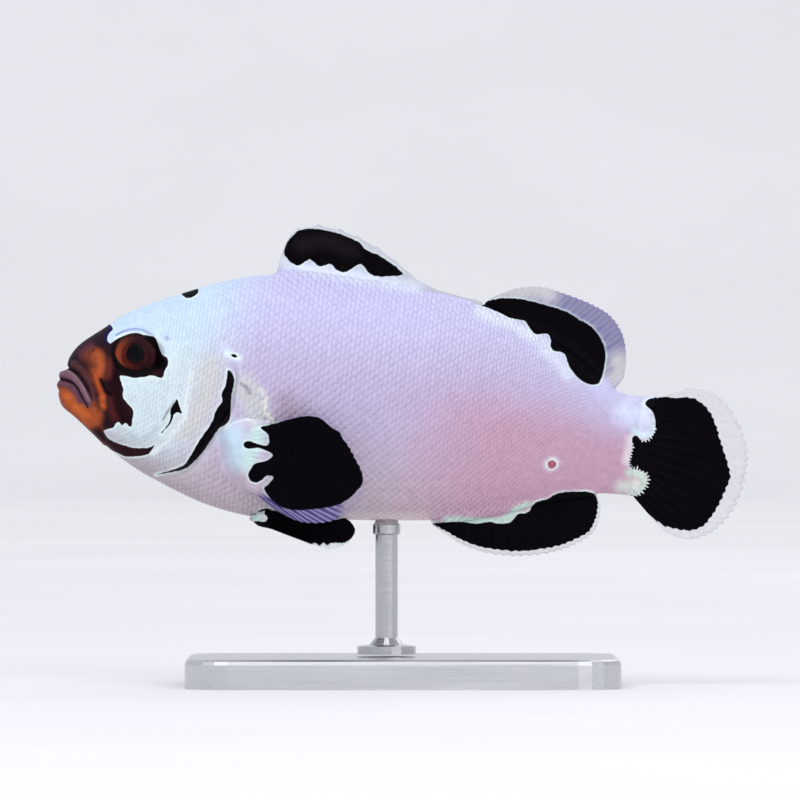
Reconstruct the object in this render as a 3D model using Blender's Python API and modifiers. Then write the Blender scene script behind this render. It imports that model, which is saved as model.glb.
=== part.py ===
"""A life-size clownfish on a plain display stand.

Metres, +Z up. The head points to -X and the fish's left side to -Y. The fish is shaped in its own
axes, with the snout tip at the origin, the length along +X and the back up, in millimetres, and an
empty then tips its head up and lifts it over the stand. The stand's underside is at z = 0.
"""

import math

import bmesh
import bpy
from mathutils import Matrix, Vector

MM = 0.001

# The whole animal, in millimetres and degrees
BODY_LENGTH = 67.4
TAIL_FIN_LENGTH = 13.1
HEAD_UP = 6.5
BELLY_HEIGHT = 19.0
GAP = 0.3
RING_POINTS = 28
RINGS = 42

# Side profile: paired points down the back and the belly, with the half width between them
BACK = [
    (-0.05, 0.25), (0.10, 1.45), (0.72, 2.30), (0.90, 3.70), (2.00, 5.45), (4.35, 7.45),
    (7.40, 9.85), (12.90, 12.55), (19.60, 15.15), (26.40, 16.35), (33.50, 16.25), (40.40, 15.70),
    (47.40, 14.90), (53.00, 13.10), (58.40, 10.60), (62.60, 7.80), (65.20, 6.90), (BODY_LENGTH, 6.80),
]
BELLY = [
    (-0.05, 0.25), (0.12, -0.75), (0.55, -1.85), (1.15, -2.45), (2.40, -3.25), (4.60, -4.90),
    (7.60, -7.10), (12.60, -9.45), (19.40, -11.70), (26.40, -12.40), (33.50, -11.60), (40.40, -10.95),
    (47.00, -10.00), (52.60, -8.40), (58.20, -6.40), (62.60, -5.30), (65.20, -5.00), (BODY_LENGTH, -5.00),
]
HALF_WIDTH = [
    0.0, 1.35, 2.05, 2.45, 3.05, 4.05, 4.95, 5.95, 6.55, 6.60, 6.25, 5.60, 4.75, 3.85, 2.85, 2.20, 1.70, 1.15,
]
BACK_KEEL = 0.20
BELLY_ROUND = 0.12
TAIL_KEEL = 0.15

# Lines on the side of the head and trunk where the pieces part
GILL_EDGE = [(19.0, 18.5), (19.5, 11.5), (20.3, 6.8), (20.5, 3.4), (20.0, 0.6), (19.3, -1.9),
             (17.8, -4.8), (15.8, -7.6), (13.6, -9.2), (12.2, -11.5)]
LIP_GROOVE = [(-1.5, 2.6), (0.77, 2.42), (1.55, 2.12), (2.55, 1.22), (3.36, 0.15), (3.95, -0.75), (4.6, -1.95)]
MOUTH_LINE = [(-1.5, 0.95), (0.60, 1.00), (2.00, 0.70), (2.70, 0.15), (3.49, -1.00), (4.05, -2.05)]
JAW_JOINT = [(4.05, -2.05), (5.3, -3.9), (6.1, -7.5)]
GILL_COVER = [(14.9, 7.2), (14.5, 3.6), (14.6, 0.4), (13.9, -2.0), (12.7, -4.4), (11.4, -6.3), (12.4, -8.0),
              (14.9, -7.7), (16.9, -5.4), (18.5, -2.8), (19.4, -0.2), (19.8, 3.0), (19.1, 6.2), (17.2, 7.9)]
GILL_COVER_DEPTH = 3.1
TRUNK_SPLIT = 46.0
TAIL_SPLIT = 60.5

# Eyes: flattened balls, set deep and standing slightly proud of the cheek
EYE_CENTRE = (8.70, 4.80)
EYE_RADIUS = 2.60
EYE_FLATNESS = 0.70
EYE_PROUD = 0.55

# Fins: root line on the body, margin reached by the rays, and thickness at root and margin
FIN_LIFT = 0.4
FIN_ROOT_THICK = 1.2
FIN_EDGE_THICK = 0.5
DORSAL_FRONT_SPAN = (23.7, 44.3)
DORSAL_FRONT_MARGIN = [(24.0, 18.3), (24.9, 21.0), (27.2, 22.15), (30.0, 22.1), (32.4, 21.5), (35.0, 20.4),
                       (37.4, 19.0), (39.4, 17.6), (41.8, 16.5), (44.9, 15.9)]
DORSAL_REAR_SPAN = (47.3, 63.4)
DORSAL_REAR_MARGIN = [(49.0, 16.3), (51.2, 17.4), (54.2, 18.0), (57.2, 17.5), (60.2, 16.7), (62.6, 15.6),
                      (64.3, 13.6), (65.0, 11.0), (65.0, 8.8)]
ANAL_SPAN = (45.4, 62.8)
ANAL_MARGIN = [(46.6, -11.7), (48.9, -12.8), (52.0, -13.4), (55.4, -13.3), (58.6, -12.6), (61.2, -11.5),
               (63.3, -9.9), (64.0, -8.2), (64.0, -6.7)]
CAUDAL_MARGIN = [(72.6, 8.35), (75.3, 8.05), (77.6, 6.5), (79.3, 4.1), (80.4, 1.4), (80.4, -1.2), (79.9, -4.0),
                 (78.6, -6.5), (76.8, -8.3), (74.5, -9.2), (71.6, -8.6)]
PECTORAL_ROOT = [(22.9, -2.0), (22.3, -5.2), (23.3, -8.9)]
PECTORAL_MARGIN = [(27.0, -0.3), (30.4, 0.5), (33.0, -1.2), (35.0, -3.7), (36.7, -6.6), (36.2, -9.3),
                   (33.6, -11.5), (30.0, -12.1), (26.6, -11.0)]
PECTORAL_FLARE = 0.24
PECTORAL_ROOT_THICK = 1.6
PELVIC_ROOT = [(24.0, -12.8), (25.6, -13.0), (27.4, -12.9)]
PELVIC_MARGIN = [(31.2, -14.4), (33.2, -14.9), (35.2, -14.2), (36.1, -12.9), (35.2, -12.3), (33.2, -12.4)]
PELVIC_ROOT_OUT = 1.5
PELVIC_SPLAY = 3.2

# The stand
BASE_LENGTH = 50.0
BASE_WIDTH = 30.0
BASE_THICK = 3.4
BASE_CORNER = 5.0
BASE_EDGE = 0.6
ROD_AT = 39.6
ROD_RADIUS = 1.3
ROD_FOOT_RADIUS = 3.4
ROD_FOOT_THICK = 1.1

COLOURS = {
    "pearl": ((0.78, 0.74, 0.84, 1.0), 0.38, 0.0),
    "mint": ((0.76, 0.84, 0.88, 1.0), 0.36, 0.0),
    "amber": ((0.42, 0.11, 0.04, 1.0), 0.34, 0.0),
    "lip": ((0.12, 0.07, 0.09, 1.0), 0.34, 0.0),
    "black": ((0.010, 0.008, 0.011, 1.0), 0.42, 0.0),
    "eye": ((0.012, 0.014, 0.018, 1.0), 0.06, 0.0),
    "base": ((0.62, 0.63, 0.64, 1.0), 0.34, 1.0),
    "rod": ((0.55, 0.55, 0.56, 1.0), 0.24, 1.0),
}


def clear_scene():
    for thing in list(bpy.data.objects):
        bpy.data.objects.remove(thing, do_unlink=True)


def new_collection(name, hidden=False):
    made = bpy.data.collections.new(name)
    made.hide_render = hidden
    bpy.context.scene.collection.children.link(made)
    return made


def new_material(name):
    colour, roughness, metallic = COLOURS[name]
    made = bpy.data.materials.new(name)
    made.use_nodes = True
    made.diffuse_color = colour
    shader = made.node_tree.nodes["Principled BSDF"]
    shader.inputs["Base Color"].default_value = colour
    shader.inputs["Roughness"].default_value = roughness
    shader.inputs["Metallic"].default_value = metallic
    return made


def blend(knots, share):
    """A Catmull-Rom curve through the knots, at share 0 to 1 of their count."""
    place = min(max(share, 0.0), 1.0) * (len(knots) - 1)
    low = min(int(place), len(knots) - 2)
    part = place - low
    around = [knots[min(max(low + step, 0), len(knots) - 1)] for step in (-1, 0, 1, 2)]
    before, here, after, beyond = (Vector(k) if isinstance(k, tuple) else k for k in around)
    slope = (after - before) * 0.5
    next_slope = (beyond - here) * 0.5
    bend = (after - here) * 3 - slope * 2 - next_slope
    twist = (here - after) * 2 + slope + next_slope
    return here + slope * part + bend * part**2 + twist * part**3


def smooth_line(knots, points):
    return [blend(knots, step / (points - 1)) for step in range(points)]


def body_ring(share):
    """Back point, belly point and half width of the ring at share 0 (snout) to 1 (tail)."""
    return blend(BACK, share), blend(BELLY, share), blend(HALF_WIDTH, share)


def body_point(share, turn):
    """A point on the skin: turn 0 is the back, half a turn the belly, and under half is the right side."""
    back, belly, wide = body_ring(share)
    up = math.cos(turn * math.tau)
    out = math.sin(turn * math.tau)
    middle = back * (0.5 + 0.5 * up) + belly * (0.5 - 0.5 * up)
    rear = min(max((middle.x - 40.0) / 20.0, 0.0), 1.0)
    belly_keel = TAIL_KEEL * rear - BELLY_ROUND * (1.0 - rear)
    power = 1.0 + (BACK_KEEL * up if up > 0 else -belly_keel * up)
    side = wide * abs(out) ** power * (1 if out > 0 else -1)
    return Vector((middle.x, side, middle.y))


def share_at(x, z):
    """The share of the body ring that passes through x, z on the side view."""
    low, high = 0.0, 1.0
    for _ in range(40):
        middle = 0.5 * (low + high)
        back, belly, _wide = body_ring(middle)
        line = back - belly
        ahead = (x - belly.x) * line.y - (z - belly.y) * line.x
        low, high = (middle, high) if ahead > 0 else (low, middle)
    return 0.5 * (low + high)


def half_width_at(x, z):
    """How far the skin stands out from the middle plane at x, z on the side view."""
    share = share_at(x, z)
    back, belly, _wide = body_ring(share)
    up = 2.0 * (z - belly.y) / max(back.y - belly.y, 0.01) - 1.0
    turn = math.acos(min(max(up, -1.0), 1.0)) / math.tau
    return body_point(share, turn).y


def height_on(line, x):
    """The height of the back or belly line at x, behind the snout where x only grows."""
    low, high = 0.2, 1.0
    for _ in range(30):
        middle = 0.5 * (low + high)
        low, high = (middle, high) if blend(line, middle).x < x else (low, middle)
    return blend(line, low).y


def mesh_of(name, builder):
    """A mesh from a bmesh worked in millimetres."""
    shape = bmesh.new()
    builder(shape)
    bmesh.ops.scale(shape, vec=(MM, MM, MM), verts=shape.verts)
    bmesh.ops.recalc_face_normals(shape, faces=shape.faces)
    mesh = bpy.data.meshes.new(name)
    shape.to_mesh(mesh)
    shape.free()
    return mesh


def place(name, mesh, group, material=None, carrier=None):
    made = bpy.data.objects.new(name, mesh)
    group.objects.link(made)
    made.parent = carrier
    if material:
        mesh.materials.append(material)
        mesh.shade_smooth()
        mesh.set_sharp_from_angle(angle=math.radians(40))
    else:
        made.hide_render = True
        made.display_type = "WIRE"
    return made


def body_shape(shape):
    """The loft: rings close together at the snout, and one flat end where the tail fin starts."""
    rings = []
    for step in range(1, RINGS + 1):
        share = (step / RINGS) ** 1.12
        ring = [shape.verts.new(body_point(share, turn / RING_POINTS)) for turn in range(RING_POINTS)]
        rings.append(ring)
    snout = shape.verts.new(body_point(0.0, 0.0))
    for turn in range(RING_POINTS):
        after = (turn + 1) % RING_POINTS
        shape.faces.new((snout, rings[0][turn], rings[0][after]))
        for ring, behind in zip(rings, rings[1:]):
            shape.faces.new((ring[turn], behind[turn], behind[after], ring[after]))
    shape.faces.new(rings[-1])


def prism(outline, near, far):
    """A builder for a side-view outline carried across from y = near to y = far."""

    def build(shape):
        corners = [shape.verts.new((point.x, near, point.y)) for point in outline]
        face = shape.faces.new(corners)
        moved = bmesh.ops.extrude_face_region(shape, geom=[face])["geom"]
        across = [item for item in moved if isinstance(item, bmesh.types.BMVert)]
        bmesh.ops.translate(shape, vec=(0, far - near, 0), verts=across)

    return build


def shifted(line, distance):
    """The line moved sideways by distance, to the left of its own direction."""
    moved = []
    for index, point in enumerate(line):
        ahead = line[min(index + 1, len(line) - 1)] - line[max(index - 1, 0)]
        left = Vector((-ahead.y, ahead.x)).normalized()
        moved.append(point + left * distance)
    return moved


def closed_shifted(outline, distance):
    """A closed outline grown outwards by distance; its points run anticlockwise."""
    moved = []
    for index, point in enumerate(outline):
        ahead = outline[(index + 1) % len(outline)] - outline[index - 1]
        moved.append(point + Vector((ahead.y, -ahead.x)).normalized() * distance)
    return moved


def boolean(target, operation, cutter):
    cut = target.modifiers.new(cutter.name, "BOOLEAN")
    cut.operation = operation
    cut.solver = "EXACT"
    cut.object = cutter


def corner(x, z):
    return Vector((x, z))


def build_body(group, cutters, materials, carrier):
    half = GAP / 2
    wide = 12.0
    body = mesh_of("body", body_shape)
    gill = smooth_line(GILL_EDGE, 19)
    groove = smooth_line(LIP_GROOVE, 16)
    mouth = smooth_line(MOUTH_LINE, 14)
    joint = smooth_line(JAW_JOINT, 5)

    def cutter(name, outline, near=-wide, far=wide):
        return place(name, mesh_of(name, prism(outline, near, far)), cutters, carrier=carrier)

    def piece(name, material, keep, removed=()):
        made = place(name, body.copy(), group, materials[material], carrier)
        boolean(made, "INTERSECT", keep)
        for tool in removed:
            boolean(made, "DIFFERENCE", tool)
        return made

    # The gill edge runs down, so its left is the trunk's side and its right the head's
    front = cutter("cut_front", [corner(-5, -16), corner(-5, 20)] + shifted(gill, -half))
    middle = cutter("cut_middle", [corner(TRUNK_SPLIT - half, 20)] + shifted(gill, half)
                    + [corner(TRUNK_SPLIT - half, -16)])
    rear = cutter("cut_rear", [corner(TRUNK_SPLIT + half, 20), corner(TRUNK_SPLIT + half, -16),
                               corner(TAIL_SPLIT - half, -16), corner(TAIL_SPLIT - half, 20)])
    end = cutter("cut_end", [corner(TAIL_SPLIT + half, 20), corner(TAIL_SPLIT + half, -16),
                             corner(BODY_LENGTH + 2, -16), corner(BODY_LENGTH + 2, 20)])
    lip = cutter("cut_lip", shifted(groove, -half) + list(reversed(shifted(mouth, half))))
    jaw = cutter("cut_jaw", shifted(mouth, -half) + shifted(joint, -half)[1:] + [corner(-1.5, -7.5)])
    snout = cutter("cut_snout", shifted(groove, half) + shifted(joint, half)[1:]
                   + [corner(6.1, -12), corner(-3, -12), corner(-3, 2.7)])
    covers = []
    pockets = []
    flap = smooth_line(GILL_COVER + GILL_COVER[:1], 29)[:-1]
    for side, sign in (("left", -1), ("right", 1)):
        spans = sorted((sign * GILL_COVER_DEPTH, sign * wide))
        covers.append((side, cutter("cut_cover_" + side, flap, *spans)))
        spans = sorted((sign * (GILL_COVER_DEPTH - GAP), sign * wide))
        pockets.append(cutter("cut_pocket_" + side, closed_shifted(flap, GAP), *spans))
    sockets = build_eyes(group, cutters, materials, carrier)

    piece("head", "mint", front, [snout] + pockets + sockets)
    piece("upper_lip", "lip", lip)
    piece("lower_jaw", "amber", jaw)
    for side, keep in covers:
        piece("gill_cover_" + side, "mint", keep)
    piece("trunk_front", "pearl", middle)
    piece("trunk_rear", "pearl", rear)
    piece("tail_base", "pearl", end)
    bpy.data.meshes.remove(body)


def build_eyes(group, cutters, materials, carrier):
    """The two eyeballs. Their sockets, a gap larger, are returned as cutters."""
    x, z = EYE_CENTRE
    depth = EYE_RADIUS * EYE_FLATNESS
    out = half_width_at(x, z) + EYE_PROUD - depth
    sockets = []

    def ball(radius, flat):
        def build(shape):
            bmesh.ops.create_uvsphere(shape, u_segments=20, v_segments=12, radius=1.0)
            bmesh.ops.rotate(shape, verts=shape.verts, matrix=Matrix.Rotation(math.pi / 2, 3, "X"))
            bmesh.ops.scale(shape, vec=(radius, flat, radius), verts=shape.verts)

        return build

    for side, sign in (("left", -1), ("right", 1)):
        place_at = Vector((x, sign * out, z)) * MM
        eye = place("eye_" + side, mesh_of("eye", ball(EYE_RADIUS, depth)), group, materials["eye"], carrier)
        eye.location = place_at
        hollow = mesh_of("socket", ball(EYE_RADIUS + GAP, depth + GAP))
        socket = place("cut_socket_" + side, hollow, cutters, carrier=carrier)
        socket.location = place_at
        sockets.append(socket)
    return sockets


def fin_object(name, root, margin, across, along, group, material, carrier, thick=(FIN_ROOT_THICK, FIN_EDGE_THICK)):
    """A fin from a grid stretched between its root line and the margin where its rays end.

    root and margin are functions of the share along the fin, and give points in the fish's axes.
    """

    def build(shape):
        bmesh.ops.create_grid(shape, x_segments=along, y_segments=across, size=0.5)
        for vert in shape.verts:
            share, reach = vert.co.x + 0.5, vert.co.y + 0.5
            vert.co = root(share).lerp(margin(share), reach)

    shape = bmesh.new()
    bmesh.ops.create_grid(shape, x_segments=along, y_segments=across, size=0.5)
    reaches = [vert.co.y + 0.5 for vert in shape.verts]
    shape.free()
    fin = place(name, mesh_of(name, build), group, material, carrier)
    taper = fin.vertex_groups.new(name="taper")
    for index, reach in enumerate(reaches):
        taper.add([index], 1.0 - reach, "REPLACE")
    skin = fin.modifiers.new("thickness", "SOLIDIFY")
    skin.thickness = thick[0] * MM
    skin.offset = 0.0
    skin.vertex_group = "taper"
    skin.thickness_vertex_group = thick[1] / thick[0]
    return fin


def build_fins(group, materials, carrier):
    """Fins on the middle plane stand off the body by the gap; the paired ones are mirrored across it."""
    black = materials["black"]

    def flat(line):
        return lambda share: (lambda point: Vector((point.x, 0.0, point.y)))(blend(line, share))

    def along(line, span, lift):
        def root(share):
            x = span[0] + (span[1] - span[0]) * share
            return Vector((x, 0.0, height_on(line, x) + lift))

        return root

    fin_object("dorsal_fin_front", along(BACK, DORSAL_FRONT_SPAN, FIN_LIFT), flat(DORSAL_FRONT_MARGIN),
               5, 22, group, black, carrier)
    fin_object("dorsal_fin_rear", along(BACK, DORSAL_REAR_SPAN, FIN_LIFT), flat(DORSAL_REAR_MARGIN),
               5, 16, group, black, carrier)
    fin_object("anal_fin", along(BELLY, ANAL_SPAN, -FIN_LIFT), flat(ANAL_MARGIN),
               5, 16, group, black, carrier)
    root_x = BODY_LENGTH + GAP
    caudal_root = flat([(root_x, 6.7), (root_x, 2.8), (root_x, -1.1), (root_x, -4.9)])
    fin_object("caudal_fin", caudal_root, flat(CAUDAL_MARGIN), 7, 18, group, black, carrier)

    for side, sign in (("left", -1), ("right", 1)):

        def pectoral_root(share, sign=sign):
            point = blend(PECTORAL_ROOT, share)
            out = half_width_at(point.x, point.y) + GAP + PECTORAL_ROOT_THICK / 2
            return Vector((point.x, sign * out, point.y))

        def pectoral_margin(share, sign=sign):
            root, point = pectoral_root(share), blend(PECTORAL_MARGIN, share)
            reach = math.hypot(point.x - root.x, point.y - root.z)
            return Vector((point.x, root.y + sign * PECTORAL_FLARE * reach, point.y))

        def pelvic_root(share, sign=sign):
            point = blend(PELVIC_ROOT, share)
            return Vector((point.x, sign * PELVIC_ROOT_OUT, point.y))

        def pelvic_margin(share, sign=sign):
            point = blend(PELVIC_MARGIN, share)
            return Vector((point.x, sign * (PELVIC_ROOT_OUT + PELVIC_SPLAY * (1.0 - 0.8 * share)), point.y))

        fin_object("pectoral_fin_" + side, pectoral_root, pectoral_margin, 6, 14, group, black, carrier,
                   (PECTORAL_ROOT_THICK, FIN_EDGE_THICK))
        fin_object("pelvic_fin_" + side, pelvic_root, pelvic_margin, 5, 8, group, black, carrier,
                   (1.0, FIN_EDGE_THICK))


def build_stand(group, materials, rod_x, rod_top):
    """A bevelled plate, and a turned rod with a thin foot, all in the world's axes."""

    def plate(shape):
        bmesh.ops.create_cube(shape, size=1.0)
        bmesh.ops.scale(shape, vec=(BASE_LENGTH, BASE_WIDTH, BASE_THICK), verts=shape.verts)
        bmesh.ops.translate(shape, vec=(0, 0, BASE_THICK / 2), verts=shape.verts)
        uprights = [edge for edge in shape.edges if abs(edge.verts[0].co.z - edge.verts[1].co.z) > 1]
        bmesh.ops.bevel(shape, geom=uprights, offset=BASE_CORNER, affect="EDGES", segments=5, profile=0.5)
        rim = [edge for edge in shape.edges if all(vert.co.z > BASE_THICK - 0.1 for vert in edge.verts)]
        bmesh.ops.bevel(shape, geom=rim, offset=BASE_EDGE, affect="EDGES", segments=2, profile=0.5)

    place("stand_base", mesh_of("stand_base", plate), group, materials["base"])

    foot = BASE_THICK + GAP
    profile = [(0.0, rod_top), (ROD_RADIUS * 0.7, rod_top - 0.15), (ROD_RADIUS, rod_top - 0.6),
               (ROD_RADIUS, foot + ROD_FOOT_THICK + 0.8), (ROD_RADIUS * 1.5, foot + ROD_FOOT_THICK),
               (ROD_FOOT_RADIUS, foot + ROD_FOOT_THICK - 0.2), (ROD_FOOT_RADIUS, foot), (0.0, foot)]

    def turned(shape):
        points = [shape.verts.new((x, 0, z)) for x, z in profile]
        edges = [shape.edges.new(pair) for pair in zip(points, points[1:])]
        bmesh.ops.spin(shape, geom=points + edges, cent=(0, 0, 0), axis=(0, 0, 1), angle=math.tau,
                       steps=18, use_merge=True)
        bmesh.ops.remove_doubles(shape, verts=shape.verts, dist=0.001)

    rod = place("stand_rod", mesh_of("stand_rod", turned), group, materials["rod"])
    rod.location.x = rod_x


def main():
    clear_scene()
    fish = new_collection("clownfish")
    cutters = new_collection("cutters", hidden=True)
    materials = {name: new_material(name) for name in COLOURS}
    tilt = math.radians(HEAD_UP)
    total = BODY_LENGTH + TAIL_FIN_LENGTH
    carrier = bpy.data.objects.new("pose", None)
    fish.objects.link(carrier)
    carrier.rotation_euler = (0.0, tilt, 0.0)
    belly = Vector((ROD_AT, height_on(BELLY, ROD_AT)))
    middle = total * math.cos(tilt) / 2
    belly_drop = -belly.x * math.sin(tilt) + belly.y * math.cos(tilt)
    carrier.location = (-middle * MM, 0.0, (BELLY_HEIGHT - belly_drop) * MM)
    rod_x = belly.x * math.cos(tilt) + belly.y * math.sin(tilt) - middle
    build_body(fish, cutters, materials, carrier)
    build_fins(fish, materials, carrier)
    build_stand(fish, materials, rod_x * MM, BELLY_HEIGHT - GAP - 0.1)


main()
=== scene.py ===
import math

import bmesh
import bpy
import numpy as np
from mathutils import Matrix, Vector


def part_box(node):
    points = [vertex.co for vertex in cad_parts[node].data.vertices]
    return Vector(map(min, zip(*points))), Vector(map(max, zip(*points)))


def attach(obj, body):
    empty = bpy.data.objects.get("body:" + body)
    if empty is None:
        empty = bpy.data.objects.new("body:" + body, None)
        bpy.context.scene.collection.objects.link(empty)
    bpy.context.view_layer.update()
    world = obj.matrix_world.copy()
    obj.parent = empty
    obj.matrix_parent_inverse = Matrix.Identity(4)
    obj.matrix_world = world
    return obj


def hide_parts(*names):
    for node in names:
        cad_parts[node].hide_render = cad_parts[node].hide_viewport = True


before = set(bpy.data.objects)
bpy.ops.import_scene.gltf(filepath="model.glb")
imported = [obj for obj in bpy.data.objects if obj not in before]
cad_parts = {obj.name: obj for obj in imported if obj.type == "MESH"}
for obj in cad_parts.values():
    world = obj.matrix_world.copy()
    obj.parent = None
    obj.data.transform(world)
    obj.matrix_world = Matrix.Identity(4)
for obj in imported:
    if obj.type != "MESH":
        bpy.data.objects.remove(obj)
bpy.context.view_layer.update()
print("frame loaded,", len(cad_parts), "nodes")

# The fish is shaped in its own side view, in mm: snout at 0, 0, tail along +x, back along +z, left side at -y
mm = 0.001
fishPlace = {
    "headUp": 6.5,  # degrees
    "eyeAt": (8.70, 4.80),  # the eye's middle on the side view, which the frame's eye node places
}

# The same lines as the solids, with one more knot where the flesh runs out between the tail rays
bodyShape = {
    "back": [(-0.05, 0.25), (0.10, 1.45), (0.72, 2.30), (0.90, 3.70), (2.00, 5.45), (4.35, 7.45),
        (7.40, 9.85), (12.90, 12.55), (19.60, 15.15), (26.40, 16.35), (33.50, 16.25), (40.40, 15.70),
        (47.40, 14.90), (53.00, 13.10), (58.40, 10.60), (62.60, 7.80), (65.20, 6.90), (67.40, 6.80),
        (69.30, 7.00)],
    "belly": [(-0.05, 0.25), (0.12, -0.75), (0.55, -1.85), (1.15, -2.45), (2.40, -3.25), (4.60, -4.90),
        (7.60, -7.10), (12.60, -9.45), (19.40, -11.70), (26.40, -12.40), (33.50, -11.60), (40.40, -10.95),
        (47.00, -10.00), (52.60, -8.40), (58.20, -6.40), (62.60, -5.30), (65.20, -5.00), (67.40, -5.00),
        (69.10, -5.50)],
    "halfWidth": [0.0, 1.35, 2.05, 2.45, 3.05, 4.05, 4.95, 5.95, 6.55, 6.60, 6.25, 5.60, 4.75, 3.85, 2.85,
        2.20, 1.70, 1.15, 0.08],
    "backKeel": 0.20, "bellyRound": 0.12, "tailKeel": 0.15, "keelSpan": (40.0, 60.0), "coatDepth": 0.13,
    "bareDepth": 0.25, "coatEnd": (-69.3, -67.6),
}

tilt = math.radians(fishPlace["headUp"])
eyeLow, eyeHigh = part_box("eye_left")
eyeMiddle = (eyeLow + eyeHigh) / 2 / mm
eyeX, eyeZ = fishPlace["eyeAt"]
shiftX = eyeMiddle.x - (eyeX * math.cos(tilt) + eyeZ * math.sin(tilt))
shiftZ = eyeMiddle.z - (eyeZ * math.cos(tilt) - eyeX * math.sin(tilt))


def toWorld(points):
    x, y, z = points.T
    across, along = math.cos(tilt), math.sin(tilt)
    return np.stack((x * across + z * along + shiftX, y, z * across - x * along + shiftZ), 1) * mm


def smooth(low, high, value):
    part = np.clip((value - low) / (high - low), 0.0, 1.0)
    return part * part * (3.0 - 2.0 * part)


def bell(distance, width):
    return np.exp(-((distance / width) ** 2))


# A Catmull-Rom curve through the knots; place counts in knots
def blend(knots, place):
    knots = np.asarray(knots, float).reshape(len(knots), -1)
    last = len(knots) - 1
    place = np.clip(place, 0.0, last)
    low = np.minimum(place.astype(int), last - 1)
    part = (place - low)[:, None]
    before, here, after, beyond = (knots[np.clip(low + step, 0, last)] for step in (-1, 0, 1, 2))
    slope = (after - before) * 0.5
    nextSlope = (beyond - here) * 0.5
    bend = (after - here) * 3 - slope * 2 - nextSlope
    twist = (here - after) * 2 + slope + nextSlope
    return here + slope * part + bend * part**2 + twist * part**3


def smoothLine(knots, steps=5):
    return blend(knots, np.linspace(0, len(knots) - 1, (len(knots) - 1) * steps + 1))


def smoothLoop(knots, steps=4):
    around = knots[-2:] + knots + knots[:3]
    return blend(around, np.linspace(2, len(knots) + 2, len(knots) * steps + 1))


# Distance to a line, the side of it that the point is on (1 is to its left), and the share along it
def nearest(x, z, line, reach=3.0):
    gap = np.full(len(x), reach)
    side = np.ones(len(x))
    share = np.zeros(len(x))
    low, high = line.min(0) - reach, line.max(0) + reach
    close = np.flatnonzero((x > low[0]) & (x < high[0]) & (z > low[1]) & (z < high[1]))
    start, step = line[:-1], np.diff(line, axis=0)
    lengths = (step**2).sum(1) + 1e-12
    for part in np.array_split(close, max(1, len(close) // 15000)):
        px = x[part, None] - start[:, 0]
        pz = z[part, None] - start[:, 1]
        along = np.clip((px * step[:, 0] + pz * step[:, 1]) / lengths, 0.0, 1.0)
        apart = np.hypot(px - along * step[:, 0], pz - along * step[:, 1])
        best = apart.argmin(1)
        row = np.arange(len(part))
        gap[part] = np.minimum(apart[row, best], reach)
        side[part] = np.sign(step[best, 0] * pz[row, best] - step[best, 1] * px[row, best])
        share[part] = (best + along[row, best]) / len(step)
    return gap, side, share


# Distance to a closed outline, below zero inside it
def outlineDistance(x, z, loop, reach=3.0):
    gap, _, _ = nearest(x, z, loop, reach)
    inside = np.zeros(len(x), bool)
    for (ax, az), (bx, bz) in zip(loop[:-1], loop[1:]):
        if az != bz:
            inside ^= ((az > z) != (bz > z)) & (x < (bx - ax) * (z - az) / (bz - az) + ax)
    return np.where(inside, -gap, gap)


# Body surface: place counts rings from the snout, turn goes round from the back, below a half on the right
ringLines = np.hstack([np.array(bodyShape["back"]), np.array(bodyShape["belly"]),
                       np.array(bodyShape["halfWidth"])[:, None]])
lastRing = len(ringLines) - 1
sampledPlace = np.linspace(0.0, lastRing, 1801)
sampledRings = blend(ringLines, sampledPlace)
sampledMiddle = 0.5 * (sampledRings[:, 0] + sampledRings[:, 2])
snoutSamples = 300  # those of the blunt snout, where one x has two heights


def backHeight(x):
    return np.interp(x, sampledRings[snoutSamples:, 0], sampledRings[snoutSamples:, 1])


def bellyHeight(x):
    return np.interp(x, sampledRings[snoutSamples:, 2], sampledRings[snoutSamples:, 3])


def bodyPoint(place, turn):
    ring = blend(ringLines, place)
    up, out = np.cos(turn * math.tau), np.sin(turn * math.tau)
    high, low = 0.5 + 0.5 * up, 0.5 - 0.5 * up
    x = ring[:, 0] * high + ring[:, 2] * low
    z = ring[:, 1] * high + ring[:, 3] * low
    keelStart, keelFull = bodyShape["keelSpan"]
    rear = np.clip((x - keelStart) / (keelFull - keelStart), 0.0, 1.0)
    keel = bodyShape["tailKeel"] * rear - bodyShape["bellyRound"] * (1.0 - rear)
    power = 1.0 + np.where(up > 0, bodyShape["backKeel"] * up, -keel * up)
    y = ring[:, 4] * np.abs(out) ** power * np.sign(out)
    return np.stack((x, y, z), 1)


def outwardOf(surface, place, turn):
    ahead = surface(place + 0.02, turn) - surface(place - 0.02, turn)
    sideways = surface(place, turn + 0.002) - surface(place, turn - 0.002)
    normal = np.cross(ahead, sideways)
    size = np.linalg.norm(normal, axis=1)
    normal /= np.maximum(size, 1e-9)[:, None]
    normal[size < 1e-7] = (-1.0, 0.0, 0.0)
    return normal


def flankOut(x, z):
    share = np.clip((z - bellyHeight(x)) / (backHeight(x) - bellyHeight(x)), 0.001, 0.999)
    turn = np.arccos(2.0 * share - 1.0) / math.tau
    return bodyPoint(np.interp(x, sampledMiddle, sampledPlace), turn)[:, 1]


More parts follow.
